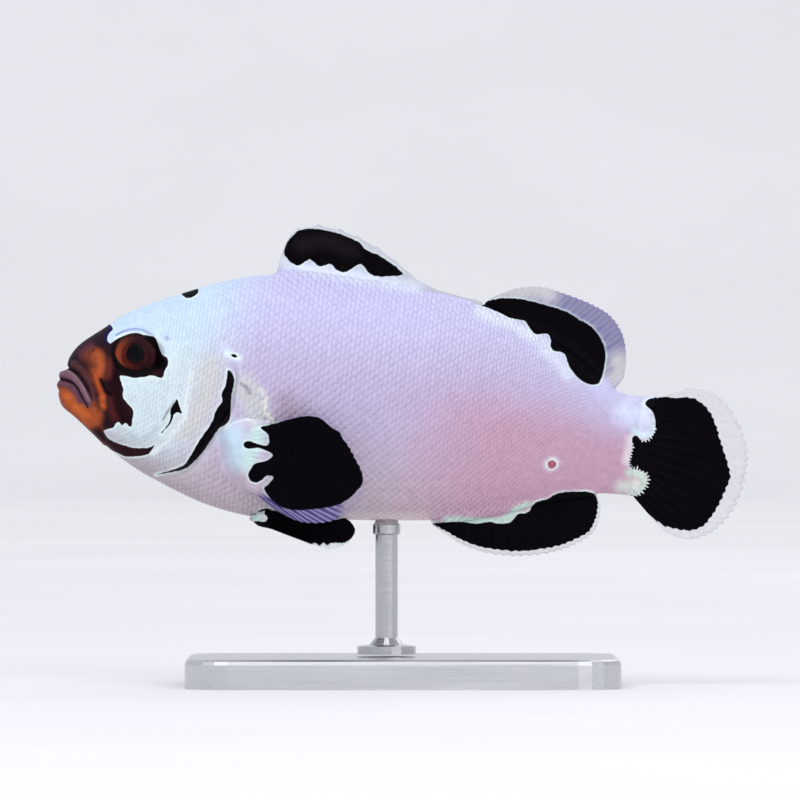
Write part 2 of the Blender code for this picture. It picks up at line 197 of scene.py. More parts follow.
# Folds of the face, gill covers, fin bases: height in mm, width in mm, and the line on the side view
folds = {
    "lipGroove": (-0.26, 0.18, [(-0.3, 2.55), (0.80, 2.48), (1.45, 2.25), (2.30, 1.75), (3.00, 1.00),
        (3.70, 0.10), (4.25, -0.80)]),
    "upperLip": (0.32, 0.42, [(-0.3, 1.75), (0.85, 1.72), (1.75, 1.25), (2.60, 0.42), (3.30, -0.55),
        (3.80, -1.40)]),
    "mouthGap": (-0.42, 0.17, [(-0.3, 1.02), (0.70, 1.02), (1.65, 0.88), (2.45, 0.25), (3.05, -0.65),
        (3.85, -1.75)]),
    "lowerLip": (0.30, 0.40, [(-0.3, 0.40), (0.70, 0.42), (1.50, 0.20), (2.25, -0.50), (2.95, -1.50)]),
    "chinCrease": (-0.10, 0.22, [(-0.3, -0.35), (0.60, -0.40), (1.40, -0.75), (2.20, -1.50),
        (2.90, -2.30)]),
    "upperJaw": (0.20, 0.30, [(1.70, 3.00), (2.70, 2.35), (3.50, 1.45), (4.10, 0.40), (4.45, -0.70),
        (4.70, -1.80)]),
    "jawCrease": (-0.16, 0.16, [(3.10, 2.60), (4.00, 1.40), (4.60, 0.20), (4.95, -1.10), (5.00, -2.20)]),
    "cheekRidge": (0.22, 0.42, [(3.60, 4.60), (4.60, 3.40), (4.75, 2.20), (4.85, 1.20), (5.30, 0.10),
        (5.70, -1.10)]),
    "cheekSlit": (-0.26, 0.17, [(5.00, 1.50), (5.40, 0.70), (5.85, 0.20), (6.40, -0.20)]),
    "jawHinge": (-0.14, 0.22, [(4.10, -2.20), (4.80, -3.30), (5.60, -4.30), (6.20, -5.60)]),
    "cheekEdge": (-0.02, 0.45, [(14.0, 6.2), (14.2, 4.0), (14.4, 1.6), (14.2, -0.6), (13.6, -2.3),
        (12.8, -3.9), (11.7, -5.4), (10.3, -6.4), (8.4, -6.6)]),
    "cheekPlate": (0.13, 0.95, [(13.1, 5.6), (13.4, 3.0), (13.5, 1.0), (13.1, -1.2), (12.3, -3.0),
        (11.2, -4.6), (9.6, -5.6)]),
    "browFold": (0.16, 0.24, [(6.2, 6.4), (7.1, 7.3), (8.4, 7.8), (9.7, 7.7), (10.8, 7.0), (11.5, 6.0)]),
    "browCrease": (-0.10, 0.12, [(6.0, 7.0), (7.1, 7.75), (8.4, 8.2), (9.8, 8.1), (11.0, 7.4)]),
    "throatFold": (-0.14, 0.20, [(6.3, -6.3), (8.6, -7.5), (11.0, -8.4), (13.6, -8.9)]),
    "lateralLine": (-0.035, 0.13, [(20.5, 9.0), (25.0, 11.6), (30.0, 13.0), (36.0, 13.5), (42.0, 13.1),
        (48.0, 12.0), (54.0, 9.8)]),
}
foldLines = {name: smoothLine(line) for name, (_, _, line) in folds.items()}

gillSlit = {
    "line": [(18.6, 6.6), (19.5, 5.0), (20.1, 3.5), (20.0, 1.6), (20.0, 0.2), (19.6, -1.2), (18.6, -2.9),
        (17.8, -4.4), (17.0, -5.7), (16.1, -7.0), (15.0, -7.9), (13.4, -8.5), (11.4, -9.0)],
    "flapRise": 0.34, "flapReach": 2.4, "flapEdge": (-0.12, 0.10), "slitDepth": 0.42, "slitBehind": 0.30,
    "slitWidth": 0.34, "topFade": 0.14, "lowFade": 0.22,
}
finBase = {
    "outline": [(19.5, -3.4), (20.5, -2.0), (22.0, -1.2), (23.8, -1.0), (25.2, -1.9), (25.7, -4.2),
        (25.8, -6.6), (25.2, -8.8), (23.6, -9.4), (21.9, -8.6), (20.4, -6.4)],
    "rise": 1.25, "shoulder": 1.7, "crease": 0.16, "creaseOut": 0.15, "creaseWidth": 0.22,
}
nostril = {
    "at": (3.75, 4.75), "rim": 0.30, "rimRise": 0.14, "rimWidth": 0.12, "pitDepth": 0.34, "pitWidth": 0.16,
}
finCrests = [(23.0, 47.6, 1, 0.50), (46.8, 64.6, 1, 0.62), (44.8, 63.8, -1, 0.55)]
gillLine = smoothLine(gillSlit["line"])
finBaseLoop = smoothLoop(finBase["outline"])


def relief(x, z):
    rise = np.zeros(len(x))
    for name, (height, width, _) in folds.items():
        gap, _, share = nearest(x, z, foldLines[name])
        least = {"mouthGap": 0.30, "upperLip": 1.0}.get(name, 1.0 if height < 0 else 0.5)
        tip = least + (1.0 - least) * smooth(0.1, 1.6, x)
        rise += height * tip * bell(gap, width) * smooth(0.0, 0.10, 1.0 - share)
    # The gill cover's rear edge stands over the slit behind it
    gap, side, share = nearest(x, z, gillLine, 8.0)
    ends = smooth(0.0, gillSlit["topFade"], share) * smooth(0.0, gillSlit["lowFade"], 1.0 - share)
    behind = gap * side
    flap = gillSlit["flapRise"] * bell(np.minimum(behind, 0), gillSlit["flapReach"])
    flap *= 1 - smooth(*gillSlit["flapEdge"], behind)
    slit = -gillSlit["slitDepth"] * bell(behind - gillSlit["slitBehind"], gillSlit["slitWidth"])
    rise += (flap + slit) * ends
    # The fleshy root of the breast fin
    depth = -outlineDistance(x, z, finBaseLoop, 4.0)
    crease = finBase["crease"] * bell(depth + finBase["creaseOut"], finBase["creaseWidth"])
    rise += finBase["rise"] * smooth(-0.2, finBase["shoulder"], depth) - crease
    apart = np.hypot(x - nostril["at"][0], z - nostril["at"][1])
    rise += nostril["rimRise"] * bell(apart - nostril["rim"], nostril["rimWidth"])
    rise -= nostril["pitDepth"] * bell(apart, nostril["pitWidth"])
    for start, end, upward, height in finCrests:
        edge = backHeight(x) - z if upward > 0 else z - bellyHeight(x)
        rise += height * bell(edge, 0.55) * smooth(start, start + 1.5, x) * smooth(-end, 1.5 - end, -x)
    return rise


# The eye is a flattened ball; the skin dips to it in a bowl and closes round it with a lid
eye = {
    "radius": 2.60, "flat": 0.70, "proud": 0.55, "open": (2.40, 1.90), "openAt": (8.76, 4.93), "bowl": 1.45,
    "iris": 2.42, "pupil": 1.03, "pupilAt": (0.0, 0.26), "ball": 0.985, "irisDip": 0.60, "pupilDip": 0.22,
    "lidOver": 0.06, "lidMost": 0.10, "lidRise": 0.10, "lidAt": 1.16, "holeDepth": 1.3, "corneaCut": 0.34,
    "corneaThick": 0.025,
}
eyeOut = float(flankOut(np.array([eyeX]), np.array([eyeZ]))[0]) + eye["proud"] - eye["radius"] * eye["flat"]


def socketShift(points):
    x, y, z = points.T
    across, high = (x - eye["openAt"][0]) / eye["open"][0], (z - eye["openAt"][1]) / eye["open"][1]
    share = np.hypot(across, high)
    fromEye = np.hypot(x - eyeX, z - eyeZ) / eye["radius"]
    ball = eyeOut + eye["radius"] * eye["flat"] * np.sqrt(np.clip(1.0 - fromEye**2, 0.0, 1.0))
    lid = np.minimum(ball + eye["lidOver"] - np.abs(y), eye["lidMost"])
    lid *= 1.0 - smooth(1.0, eye["bowl"], share)
    lid += eye["lidRise"] * bell(share - eye["lidAt"], 0.10)
    hole = -eye["holeDepth"] * (1.0 - smooth(0.86, 1.0, share))
    return np.where(share < eye["bowl"] + 0.3, lid + hole, 0.0) * np.sign(y)


def skinPoint(place, turn, lift=0.0):
    points = bodyPoint(place, turn)
    outward = outwardOf(bodyPoint, place, turn)
    # The flesh comes up to its full size where the scales have ended
    covered = smooth(*bodyShape["coatEnd"], -points[:, 0])
    depth = bodyShape["coatDepth"] * (bodyShape["bareDepth"] + (1.0 - bodyShape["bareDepth"]) * covered)
    rise = relief(points[:, 0], points[:, 2]) - depth
    shift = socketShift(points)
    points = points + outward * (rise + lift)[:, None]
    points[:, 1] += shift
    return points


def tone(red, green, blue):
    share = np.array((red, green, blue)) / 255.0
    return np.where(share <= 0.04045, share / 12.92, ((share + 0.055) / 1.055) ** 2.4)


def mix(first, second, share):
    return first + (second - first) * np.asarray(share)[:, None]


# Pale ground: bluish nape, mint cheeks, lilac flank, rosy rear, mauve underside; the fade from back to belly
# is partly the fish's own colour and partly painted light from above, bluer and paler on top and darker at
# the throat
paleTones = {
    "nape": tone(204, 226, 250), "cheek": tone(214, 230, 236), "throat": tone(184, 172, 182),
    "back": tone(208, 206, 246), "flank": tone(200, 187, 220), "under": tone(201, 184, 197),
    "rear": tone(203, 163, 186), "tailTop": tone(208, 205, 240),
}
# Where one tone gives way to the next, as shares of the height, and along the fish in mm
paleFades = {
    "nape": ((0.02, 0.26), (0.62, 0.86)), "back": ((0.05, 0.50), (0.55, 0.90)),
    "tailTop": ((0.40, 0.76), (0.70, 0.95)), "alongHead": (15.0, 25.0), "headLean": 5.0,
    "alongRear": (36.0, 52.0),
}
# Soft touches on the pale ground: colour, half width, softness, line
paleTouches = [
    ((182, 164, 188), 1.6, 1.6, [(26.5, 1.0), (28.5, -1.0), (31.0, -3.0)]),
    ((206, 206, 212), 1.5, 1.0, [(21.6, 2.6), (22.6, 1.2), (23.4, -0.2)]),
    ((150, 140, 156), 0.12, 0.22, [(21.2, 2.9), (21.9, 2.5), (22.3, 1.9)]),
    ((236, 236, 230), 0.10, 0.26, [(23.4, 2.6), (24.1, 1.8), (24.3, 0.7), (24.6, -0.2), (25.3, -0.9)]),
    ((200, 222, 238), 1.4, 1.2, [(20.8, -3.0), (21.6, -4.2), (21.8, -5.6)]),
    ((238, 244, 248), 0.04, 0.16, [(19.7, -2.7), (21.0, -1.6), (22.3, -1.1), (23.4, -1.3)]),
    ((206, 232, 230), 0.9, 0.8, [(23.8, -2.6), (23.3, -4.8), (23.0, -6.0)]),
    ((226, 244, 250), 0.22, 0.50, [(19.2, 6.25), (19.8, 6.0), (20.6, 5.8)]),
    ((212, 212, 213), 1.2, 1.5, [(17.6, 4.0), (17.3, 1.0), (15.6, -3.0)]),
    ((180, 172, 212), 0.20, 0.22, [(12.0, 7.2), (12.2, 7.1)]),
    # Painted highlight along the raised brow ridge
    ((236, 246, 252), 0.16, 0.20, [(6.3, 6.5), (7.2, 7.0), (8.4, 7.35), (9.6, 7.25), (10.6, 6.8)]),
    ((112, 138, 210), 0.07, 0.12, [(6.2, 6.85), (7.1, 7.4), (8.3, 7.8), (9.5, 7.7), (10.6, 7.2)]),
    ((122, 106, 132), 0.10, 0.14, [(13.8, 0.0), (13.3, -1.0), (12.8, -2.2)]),
    ((212, 232, 228), 0.16, 0.14, [(13.2, -1.7), (13.0, -2.4)]),
    ((228, 238, 242), 0.30, 0.30, [(15.3, 3.4), (15.1, 0.4), (15.1, -1.8), (13.7, -4.2), (12.0, -6.2)]),
    ((196, 212, 216), 0.25, 0.35, [(8.8, -4.4), (10.2, -4.8), (11.4, -4.2), (12.2, -3.2)]),
    ((222, 230, 248), 0.55, 0.60, [(24.4, 17.4), (28.0, 16.9), (32.0, 16.7), (36.0, 16.4), (40.0, 16.2)]),
    ((226, 230, 250), 0.50, 0.80, [(47.5, 14.2), (49.5, 13.6), (51.5, 13.2), (53.5, 12.3), (55.0, 11.6),
        (55.6, 10.6), (57.0, 9.8), (58.4, 8.2)]),
    ((200, 232, 218), 0.34, 0.34, [(46.5, -10.0), (50.5, -9.7), (52.3, -9.5), (53.6, -8.9), (54.4, -7.9),
        (55.6, -7.2)]),
    ((220, 228, 252), 1.2, 1.4, [(65.6, 4.6), (67.8, 4.4)]),
    ((220, 222, 216), 0.6, 0.9, [(66.2, -4.0), (67.8, -3.6)]),
    ((216, 236, 248), 0.35, 0.5, [(66.9, 2.6), (68.0, 2.3), (69.0, 2.8), (69.2, 4.0)]),
    ((230, 214, 226), 0.10, 0.8, [(66.5, 1.7), (66.4, 0.3), (66.3, -0.9)]),
    ((208, 224, 212), 0.35, 0.5, [(66.8, -2.2), (67.9, -2.3), (68.7, -2.9), (68.4, -4.0), (67.4, -4.5)]),
    ((236, 240, 246), 0.62, 0.45, [(57.6, -2.4), (57.9, -2.1)]),
    ((180, 226, 218), 0.50, 0.24, [(24.7, -12.3), (25.1, -12.1)]),
    # Painted bounce light along the belly, lighter at the very bottom
    ((252, 232, 236), 0.6, 1.2, [(26.0, -12.6), (33.5, -11.9), (44.0, -10.7)]),
]
# Dark ground of the face and of the black patches, touched in the same way
faceTones = [
    ((40, 20, 28), 9.0, 0.1, [(4.0, 0.0), (6.0, 2.0)]),
    ((38, 24, 36), 1.05, 0.75, [(1.1, 2.9), (1.8, 4.2), (3.0, 5.7), (4.6, 7.2)]),
    ((74, 38, 60), 0.30, 0.5, [(2.3, 4.3), (2.9, 4.9), (3.4, 5.3)]),
    ((122, 60, 42), 0.85, 0.85, [(3.5, 4.2), (4.1, 3.8), (4.4, 3.0), (4.3, 2.2)]),
    ((172, 84, 46), 0.58, 0.58, [(4.3, 4.3), (4.9, 3.2), (4.7, 2.4)]),
    ((178, 80, 40), 0.28, 0.36, [(4.5, 2.2), (4.6, 1.3), (5.1, 0.3), (5.5, -0.5)]),
    ((188, 90, 46), 0.42, 0.36, [(5.5, -0.7), (5.7, -1.4)]),
    ((32, 10, 18), 0.80, 0.50, [(6.9, 2.4), (6.8, 1.0), (7.1, -0.8), (8.0, -2.2), (8.8, -2.8)]),
    ((92, 40, 36), 0.26, 0.50, [(5.8, 3.8), (5.8, 2.0)]),
    ((76, 32, 34), 0.30, 0.50, [(6.3, -0.6), (6.6, -1.8), (7.2, -2.6)]),
    # Painted shade in the cheek slit
    ((16, 7, 12), 0.10, 0.18, [(5.0, 1.6), (5.4, 0.8), (5.85, 0.2), (6.3, -0.1)]),
    ((86, 50, 52), 0.30, 0.36, [(1.7, 3.0), (2.7, 2.35), (3.5, 1.45), (4.1, 0.40), (4.45, -0.7),
        (4.7, -1.9)]),
    ((126, 62, 42), 0.45, 0.55, [(4.5, -1.6), (5.2, -2.4), (5.0, -3.2)]),
    ((108, 48, 34), 0.60, 0.70, [(4.4, -3.3), (5.4, -4.5), (6.4, -5.6)]),
    ((178, 86, 46), 1.15, 0.75, [(0.9, -0.9), (2.1, -1.6), (3.3, -2.4), (4.3, -3.0)]),
    ((200, 100, 52), 0.35, 0.60, [(1.4, -0.9), (2.5, -1.8), (3.6, -2.6)]),
    ((150, 82, 66), 0.20, 0.60, [(-0.2, -0.3), (0.3, -1.2), (0.9, -2.1)]),
    ((40, 14, 24), 0.55, 0.45, [(5.2, -4.6), (6.3, -5.2), (8.2, -6.2), (10.2, -6.4), (12.2, -5.7)]),
    ((104, 68, 84), 0.34, 0.26, [(-0.2, 0.60), (0.8, 0.62), (1.55, 0.42), (2.3, -0.25), (2.95, -1.2)]),
    ((122, 86, 104), 0.40, 0.26, [(-0.2, 1.70), (0.85, 1.68), (1.75, 1.20), (2.6, 0.35), (3.3, -0.6),
        (3.8, -1.4)]),
    # Painted highlight: the light band along the rounded upper lip
    ((146, 114, 120), 0.06, 0.20, [(0.3, 2.28), (0.95, 2.18), (1.9, 1.72), (2.8, 0.85), (3.5, -0.15),
        (4.0, -1.0)]),
    # Painted shade in the gap between the lips
    ((34, 18, 30), 0.08, 0.18, [(-0.2, 1.02), (0.7, 1.02), (1.65, 0.88), (2.45, 0.25), (3.05, -0.65),
        (3.85, -1.75)]),
    # Painted shade in the lip groove
    ((28, 16, 26), 0.05, 0.18, [(-0.2, 2.56), (0.8, 2.50), (1.45, 2.26), (2.3, 1.78), (3.0, 1.02),
        (3.7, 0.12)]),
    ((12, 7, 10), 2.75, 0.25, [(8.7, 4.9), (8.8, 4.9)]),
    ((8, 6, 10), 0.70, 0.30, [(10.9, 4.6), (12.0, 4.0)]),
    ((24, 16, 84), 0.18, 0.24, [(5.2, 7.8), (5.35, 7.3), (5.1, 6.7), (5.3, 6.0)]),
]
blackTone = tone(5, 3, 8)
fringeTones = [
    ((40, 27, 36), 0.05, 0.28, [(20.3, -0.9), (19.3, -2.5), (18.3, -4.3), (17.5, -5.6), (16.4, -6.9),
        (14.6, -7.95), (12.6, -8.6)]),
    ((24, 19, 25), 0.5, 1.2, [(26.0, 19.6), (29.0, 20.4), (32.0, 19.6)]),
]
rosyDot = {"at": (57.8, -2.3), "tone": tone(176, 100, 118), "reach": 1.4}

mask = [
    (-1.5, 9.5), (4.4, 9.2), (5.2, 8.1), (5.7, 7.5), (5.3, 6.9), (5.2, 6.3), (5.6, 5.8), (6.1, 6.2),
    (6.6, 6.6), (7.6, 7.1), (8.9, 7.2), (9.9, 7.2), (10.8, 7.0), (11.3, 6.0), (11.8, 5.2), (12.4, 4.9),
    (12.6, 4.2), (12.3, 3.5), (12.2, 2.7), (11.8, 2.5), (11.0, 2.7), (10.0, 2.4), (8.9, 2.2), (7.6, 2.3),
    (7.2, 2.1), (7.5, 1.4), (7.8, 0.7), (7.8, -0.1), (8.5, -0.9), (9.2, -1.6), (9.2, -2.6), (9.1, -3.5),
    (8.5, -3.1), (8.1, -3.4), (7.7, -3.1), (7.3, -3.3), (7.1, -3.8), (6.1, -4.2), (6.2, -4.6), (6.8, -5.2),
    (8.1, -5.6), (9.9, -5.85), (11.5, -5.6), (12.1, -5.2), (11.4, -6.4), (10.0, -6.8), (8.9, -6.95),
    (7.6, -6.6), (6.2, -6.3), (4.5, -7.5), (-1.5, -6.0),
]
patches = {
    "gillBand": [(19.5, 4.3), (20.0, 4.0), (20.4, 3.1), (20.25, 1.3), (20.4, -0.8), (20.1, -1.8),
        (19.2, -2.6), (18.2, -4.5), (17.5, -5.7), (16.5, -7.0), (15.8, -7.6), (14.2, -8.2), (12.5, -8.65),
        (14.2, -7.95), (15.6, -7.2), (16.2, -6.3), (16.8, -4.9), (17.5, -3.5), (18.4, -1.8), (18.7, -0.4),
        (19.3, 0.7), (19.1, 1.4), (19.4, 2.4), (19.5, 3.4)],
    "cheekMark": [(14.04, 0.42), (14.3, -0.1), (14.8, -1.22), (14.3, -1.22), (13.7, -1.60), (13.45, -1.35),
        (13.55, -0.6), (13.85, -0.1)],
    "napeSpot": [(13.0, 12.9), (13.2, 12.3), (13.9, 12.0), (14.7, 12.4), (15.0, 13.1), (14.0, 13.6)],
    "sideSpot": [(19.6, 6.05), (20.0, 6.2), (20.45, 6.0), (20.1, 5.8)],
    "rosySpot": [(57.3, -2.2), (57.6, -1.8), (58.1, -1.8), (58.3, -2.3), (58.0, -2.8), (57.5, -2.7)],
    "frontDorsal": [(24.3, 18.6), (24.5, 19.7), (25.0, 20.5), (25.8, 21.3), (27.2, 21.65), (29.3, 21.6),
        (31.7, 21.1), (32.9, 20.6), (33.8, 19.9), (35.1, 19.5), (36.6, 18.8), (38.3, 17.6), (36.8, 17.2),
        (35.4, 17.0), (34.4, 17.2), (33.9, 17.7), (33.3, 18.2), (32.6, 17.8), (31.6, 17.1), (30.6, 17.2),
        (29.8, 17.8), (28.6, 17.4), (27.9, 17.8), (27.3, 18.1), (26.7, 17.6), (26.0, 17.2), (25.2, 17.5),
        (24.6, 18.0)],
    "rearDorsal": [(47.6, 15.1), (48.8, 15.8), (50.0, 16.15), (52.0, 16.3), (53.8, 16.1), (56.4, 15.7),
        (57.9, 15.3), (59.1, 14.7), (60.5, 14.1), (61.4, 13.3), (62.2, 12.2), (62.6, 10.9), (62.6, 9.5),
        (62.4, 8.2), (62.0, 7.5), (60.9, 7.4), (59.8, 7.9), (58.8, 8.8), (58.3, 9.6), (57.9, 10.5),
        (57.3, 10.75), (56.6, 10.7), (56.1, 11.2), (56.1, 12.0), (55.7, 12.6), (55.1, 12.6), (54.4, 12.4),
        (53.8, 12.7), (53.2, 13.5), (52.6, 13.85), (51.0, 14.0), (49.9, 14.4), (48.6, 14.8)],
    "anal": [(45.0, -10.7), (46.3, -10.35), (48.0, -10.1), (50.1, -10.05), (51.4, -9.7), (52.6, -9.8),
        (53.8, -9.5), (54.6, -8.5), (55.7, -8.1), (56.4, -6.9), (57.8, -6.3), (58.9, -5.5), (61.0, -5.1),
        (62.8, -5.0), (63.5, -5.7), (63.7, -7.0), (63.5, -8.2), (63.0, -9.5), (61.5, -10.6), (59.8, -11.5),
        (57.6, -12.2), (55.3, -12.7), (53.0, -12.8), (50.7, -12.7), (48.3, -12.1), (46.4, -11.3)],
    "tail": [(67.8, 5.8), (68.1, 6.45), (69.4, 6.85), (71.2, 7.0), (73.2, 7.15), (74.4, 6.6), (75.3, 5.8),
        (76.2, 4.3), (77.0, 2.4), (77.7, 0.9), (78.3, -0.6), (78.5, -1.6), (78.1, -3.0), (77.6, -4.6),
        (76.8, -6.3), (75.9, -7.5), (74.5, -8.1), (73.1, -8.1), (71.6, -7.9), (70.1, -7.1), (68.6, -6.3),
        (67.2, -5.5), (67.1, -4.8), (67.9, -4.75), (68.4, -4.3), (68.8, -3.6), (69.0, -2.8), (68.6, -2.1),
        (67.8, -1.9), (67.0, -1.8), (66.6, -1.2), (66.7, -0.2), (66.8, 0.9), (66.7, 1.9), (67.2, 2.1),
        (68.0, 1.6), (68.8, 2.1), (69.2, 3.0), (69.1, 4.2), (68.7, 5.1)],
    "breast": [(24.0, -1.85), (24.8, -1.5), (26.0, -1.0), (27.5, -0.4), (28.8, 0.0), (30.1, 0.1),
        (31.1, -0.2), (32.1, -0.9), (33.1, -1.35), (33.6, -2.1), (34.5, -2.95), (35.2, -4.1), (36.0, -5.3),
        (36.4, -6.7), (35.9, -7.7), (35.1, -8.7), (34.1, -9.5), (32.5, -10.15), (31.0, -10.5),
        (29.6, -10.75), (28.0, -10.8), (26.9, -10.4), (25.9, -9.7), (25.2, -8.8), (25.7, -8.1),
        (26.1, -7.3), (25.4, -7.25), (24.8, -7.8), (24.2, -8.2), (23.6, -8.1), (23.2, -7.5), (23.4, -6.7),
        (23.9, -6.0), (25.0, -5.6), (25.7, -5.0), (25.6, -4.65), (24.9, -4.4), (23.9, -4.2), (23.1, -4.4),
        (22.5, -4.35), (22.25, -3.9), (22.8, -3.5), (23.7, -3.7), (24.9, -3.85), (25.15, -3.3),
        (24.9, -2.5)],
    "pelvic": [(24.7, -11.5), (25.3, -11.15), (26.0, -11.0), (27.2, -11.0), (29.1, -11.7), (31.0, -12.0),
        (33.5, -11.5), (35.0, -11.1), (35.8, -11.6), (36.1, -12.5), (35.7, -13.5), (34.9, -14.0),
        (33.6, -14.15), (33.1, -14.55), (32.7, -14.15), (32.2, -14.65), (31.7, -14.3), (30.6, -14.9),
        (27.5, -14.5), (26.0, -14.0), (24.9, -13.3), (24.4, -12.8), (24.8, -12.6), (25.3, -12.65),
        (25.8, -12.55), (25.9, -12.2), (25.7, -11.85), (25.25, -11.6)],
    "pelvicRoot": [(24.65, -11.5), (25.2, -11.2), (25.9, -11.05), (26.3, -11.3), (25.9, -11.85),
        (25.5, -11.8), (25.15, -11.6)],
}
bodyPatches = ("breast", "gillBand", "cheekMark", "napeSpot", "sideSpot", "rosySpot", "rearDorsal", "anal",
               "tail", "pelvicRoot")
breastEnd = (24.4, 25.6)  # behind this the breast patch is on the fin alone
patchLoops = {name: smoothLoop(outline) for name, outline in patches.items()}
maskLoop = smoothLoop(mask, 3)
# Thin dark strokes: half width at the start and at the end
strokes = [(0.15, 0.04, [(13.75, -1.5), (13.6, -2.4), (13.2, -3.1), (12.7, -3.8)])]
# Teeth where the tail's black meets the flesh: pitch and depth in mm, and where the side view has them
tailComb = {
    "pitch": 0.37, "cut": 0.58, "cutSpread": (0.15, 1.35), "cutScale": 900.0, "uneven": 4.5,
    "unevenScale": 700.0, "ahead": (64.0, 66.0), "behind": (69.0, 69.9), "low": -4.5, "high": 2.9,
    "endFade": 0.6, "corner": (66.85, 2.0), "cornerFade": (0.60, 1.25), "middleWidth": 1.5,
    "middleLoss": 0.6,
}
tailArc = np.concatenate([[0.0], np.cumsum(np.hypot(*np.diff(patchLoops["tail"], axis=0).T))])


def touch(ground, x, z, touches):
    for colour, half, soft, line in touches:
        gap, _, _ = nearest(x, z, smoothLine(line), half + soft + 0.1)
        ground = mix(ground, tone(*colour), 1.0 - smooth(max(half - soft, 0.0), half + soft, gap))
    return ground


def paleGround(x, z):
    tones, fades = paleTones, paleFades
    height = np.clip((z - bellyHeight(x)) / (backHeight(x) - bellyHeight(x)), 0.0, 1.0)
    parts = []
    stacks = (("throat", "cheek", "nape"), ("under", "flank", "back"), ("rear", "flank", "tailTop"))
    for low, middle, high in stacks:
        fade = fades[high]
        lower = mix(tones[low][None], tones[middle], smooth(*fade[0], height))
        parts.append(mix(lower, tones[high], smooth(*fade[1], height)))
    head, trunk, rear = parts
    trunk = mix(trunk, rear, smooth(*fades["alongRear"], x))
    return mix(head, trunk, smooth(*fades["alongHead"], x + fades["headLean"] * (1.0 - height)))


def combShare(x, z):
    comb = smooth(*tailComb["ahead"], x) * (1.0 - smooth(*tailComb["behind"], x))
    for inside in (tailComb["high"] - z, z - tailComb["low"]):
        comb *= smooth(-tailComb["endFade"], 0.0, inside)
    cornerX, cornerZ = tailComb["corner"]
    comb *= smooth(*tailComb["cornerFade"], np.hypot(x - cornerX, z - cornerZ))
    return comb * (1.0 - tailComb["middleLoss"] * bell(z, tailComb["middleWidth"]))


# Everything painted on one surface: pale and dark grounds, and the distance to the nearest dark edge
def markings(x, z, chosen, onFace=True):
    edge = np.full(len(x), 3.0)
    for name in chosen:
        beyond = 4.0 * smooth(*breastEnd, x) if onFace and name == "breast" else 0.0
        edge = np.minimum(edge, outlineDistance(x, z, patchLoops[name]) + beyond)
    for wide, narrow, line in strokes:
        gap, _, share = nearest(x, z, smoothLine(line))
        edge = np.minimum(edge, gap - wide - (narrow - wide) * share)
    dark = touch(np.repeat(blackTone[None], len(x), 0), x, z, fringeTones)
    if onFace:
        faceEdge = outlineDistance(x, z, maskLoop)
        near = faceEdge < np.minimum(edge, 0.5)
        dark[near] = touch(dark[near], x[near], z[near], faceTones)
        edge = np.minimum(edge, faceEdge)
    apart = np.hypot(x - rosyDot["at"][0], z - rosyDot["at"][1])
    dark = mix(dark, rosyDot["tone"], (apart < rosyDot["reach"]).astype(float))
    pale = touch(paleGround(x, z), x, z, paleTouches)
    _, _, share = nearest(x, z, patchLoops["tail"], 1.5)
    arc = np.interp(share * (len(tailArc) - 1), np.arange(len(tailArc)), tailArc)
    rim, comb = np.ones(len(x)), combShare(x, z)
    return {"pale": pale, "dark": dark, "edge": edge, "rim": rim, "comb": comb, "arc": arc}


def setAttributes(mesh, values):
    for name, value in values.items():
        value = np.asarray(value, np.float32)
        if value.ndim == 2:
            colours = np.ones((len(value), 4), np.float32)
            colours[:, :3] = value
            made = mesh.attributes.new(name, "FLOAT_COLOR", "POINT")
            made.data.foreach_set("color", colours.ravel())
        else:
            made = mesh.attributes.new(name, "FLOAT", "POINT")
            made.data.foreach_set("value", value)


def pointsOf(mesh):
    flat = np.empty(len(mesh.vertices) * 3, np.float32)
    mesh.vertices.foreach_get("co", flat)
    return flat.reshape(-1, 3).astype(float)


def setPoints(mesh, points):
    mesh.vertices.foreach_set("co", toWorld(points).astype(np.float32).ravel())
    mesh.update()


def meshFrom(shape, name):
    mesh = bpy.data.meshes.new(name)
    shape.to_mesh(mesh)
    shape.free()
    return mesh


def facesOut(mesh):
    shape = bmesh.new()
    shape.from_mesh(mesh)
    bmesh.ops.recalc_face_normals(shape, faces=shape.faces)
    shape.to_mesh(mesh)
    shape.free()
    mesh.shade_smooth()


def addObject(name, data):
    made = bpy.data.objects.new(name, data)
    bpy.context.scene.collection.objects.link(made)
    return made


def addPiece(name, mesh, material, replaced=()):
    piece = addObject(name, mesh)
    mesh.materials.append(material)
    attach(piece, "root")
    if replaced:
        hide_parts(*replaced)
    print("made", name, len(mesh.polygons), "faces")
    return piece


def newMaterial(name):
    material = bpy.data.materials.new(name)
    material.use_nodes = True
    material.node_tree.nodes.clear()
    return material, material.node_tree


# A plain value is set on its socket, and another node's output is linked to it
def addNode(tree, kind, sockets=(), **settings):
    made = tree.nodes.new("ShaderNode" + kind)
    for key, value in settings.items():
        setattr(made, key, value)
    for key, value in dict(sockets).items():
        if isinstance(value, bpy.types.NodeSocket):
            tree.links.new(value, made.inputs[key])
        elif isinstance(value, np.ndarray):
            made.inputs[key].default_value = (*value, 1.0)
        else:
            made.inputs[key].default_value = value
    return made


def attribute(tree, name, output="Fac"):
    return addNode(tree, "Attribute", attribute_name=name).outputs[output]


def noise(tree, scale, detail=3.0, rough=0.55, stretch=None):
    place = addNode(tree, "TexCoord").outputs["Object"]
    if stretch:
        place = addNode(tree, "Mapping", {"Vector": place, "Scale": stretch}).outputs["Vector"]
    sockets = {"Vector": place, "Scale": scale, "Detail": detail, "Roughness": rough}
    return addNode(tree, "TexNoise", sockets).outputs["Fac"]


def ranged(tree, source, fromLow, fromHigh, low=0.0, high=1.0, curve="LINEAR"):
    sockets = {"Value": source, "From Min": fromLow, "From Max": fromHigh, "To Min": low, "To Max": high}
    return addNode(tree, "MapRange", sockets, interpolation_type=curve).outputs["Result"]


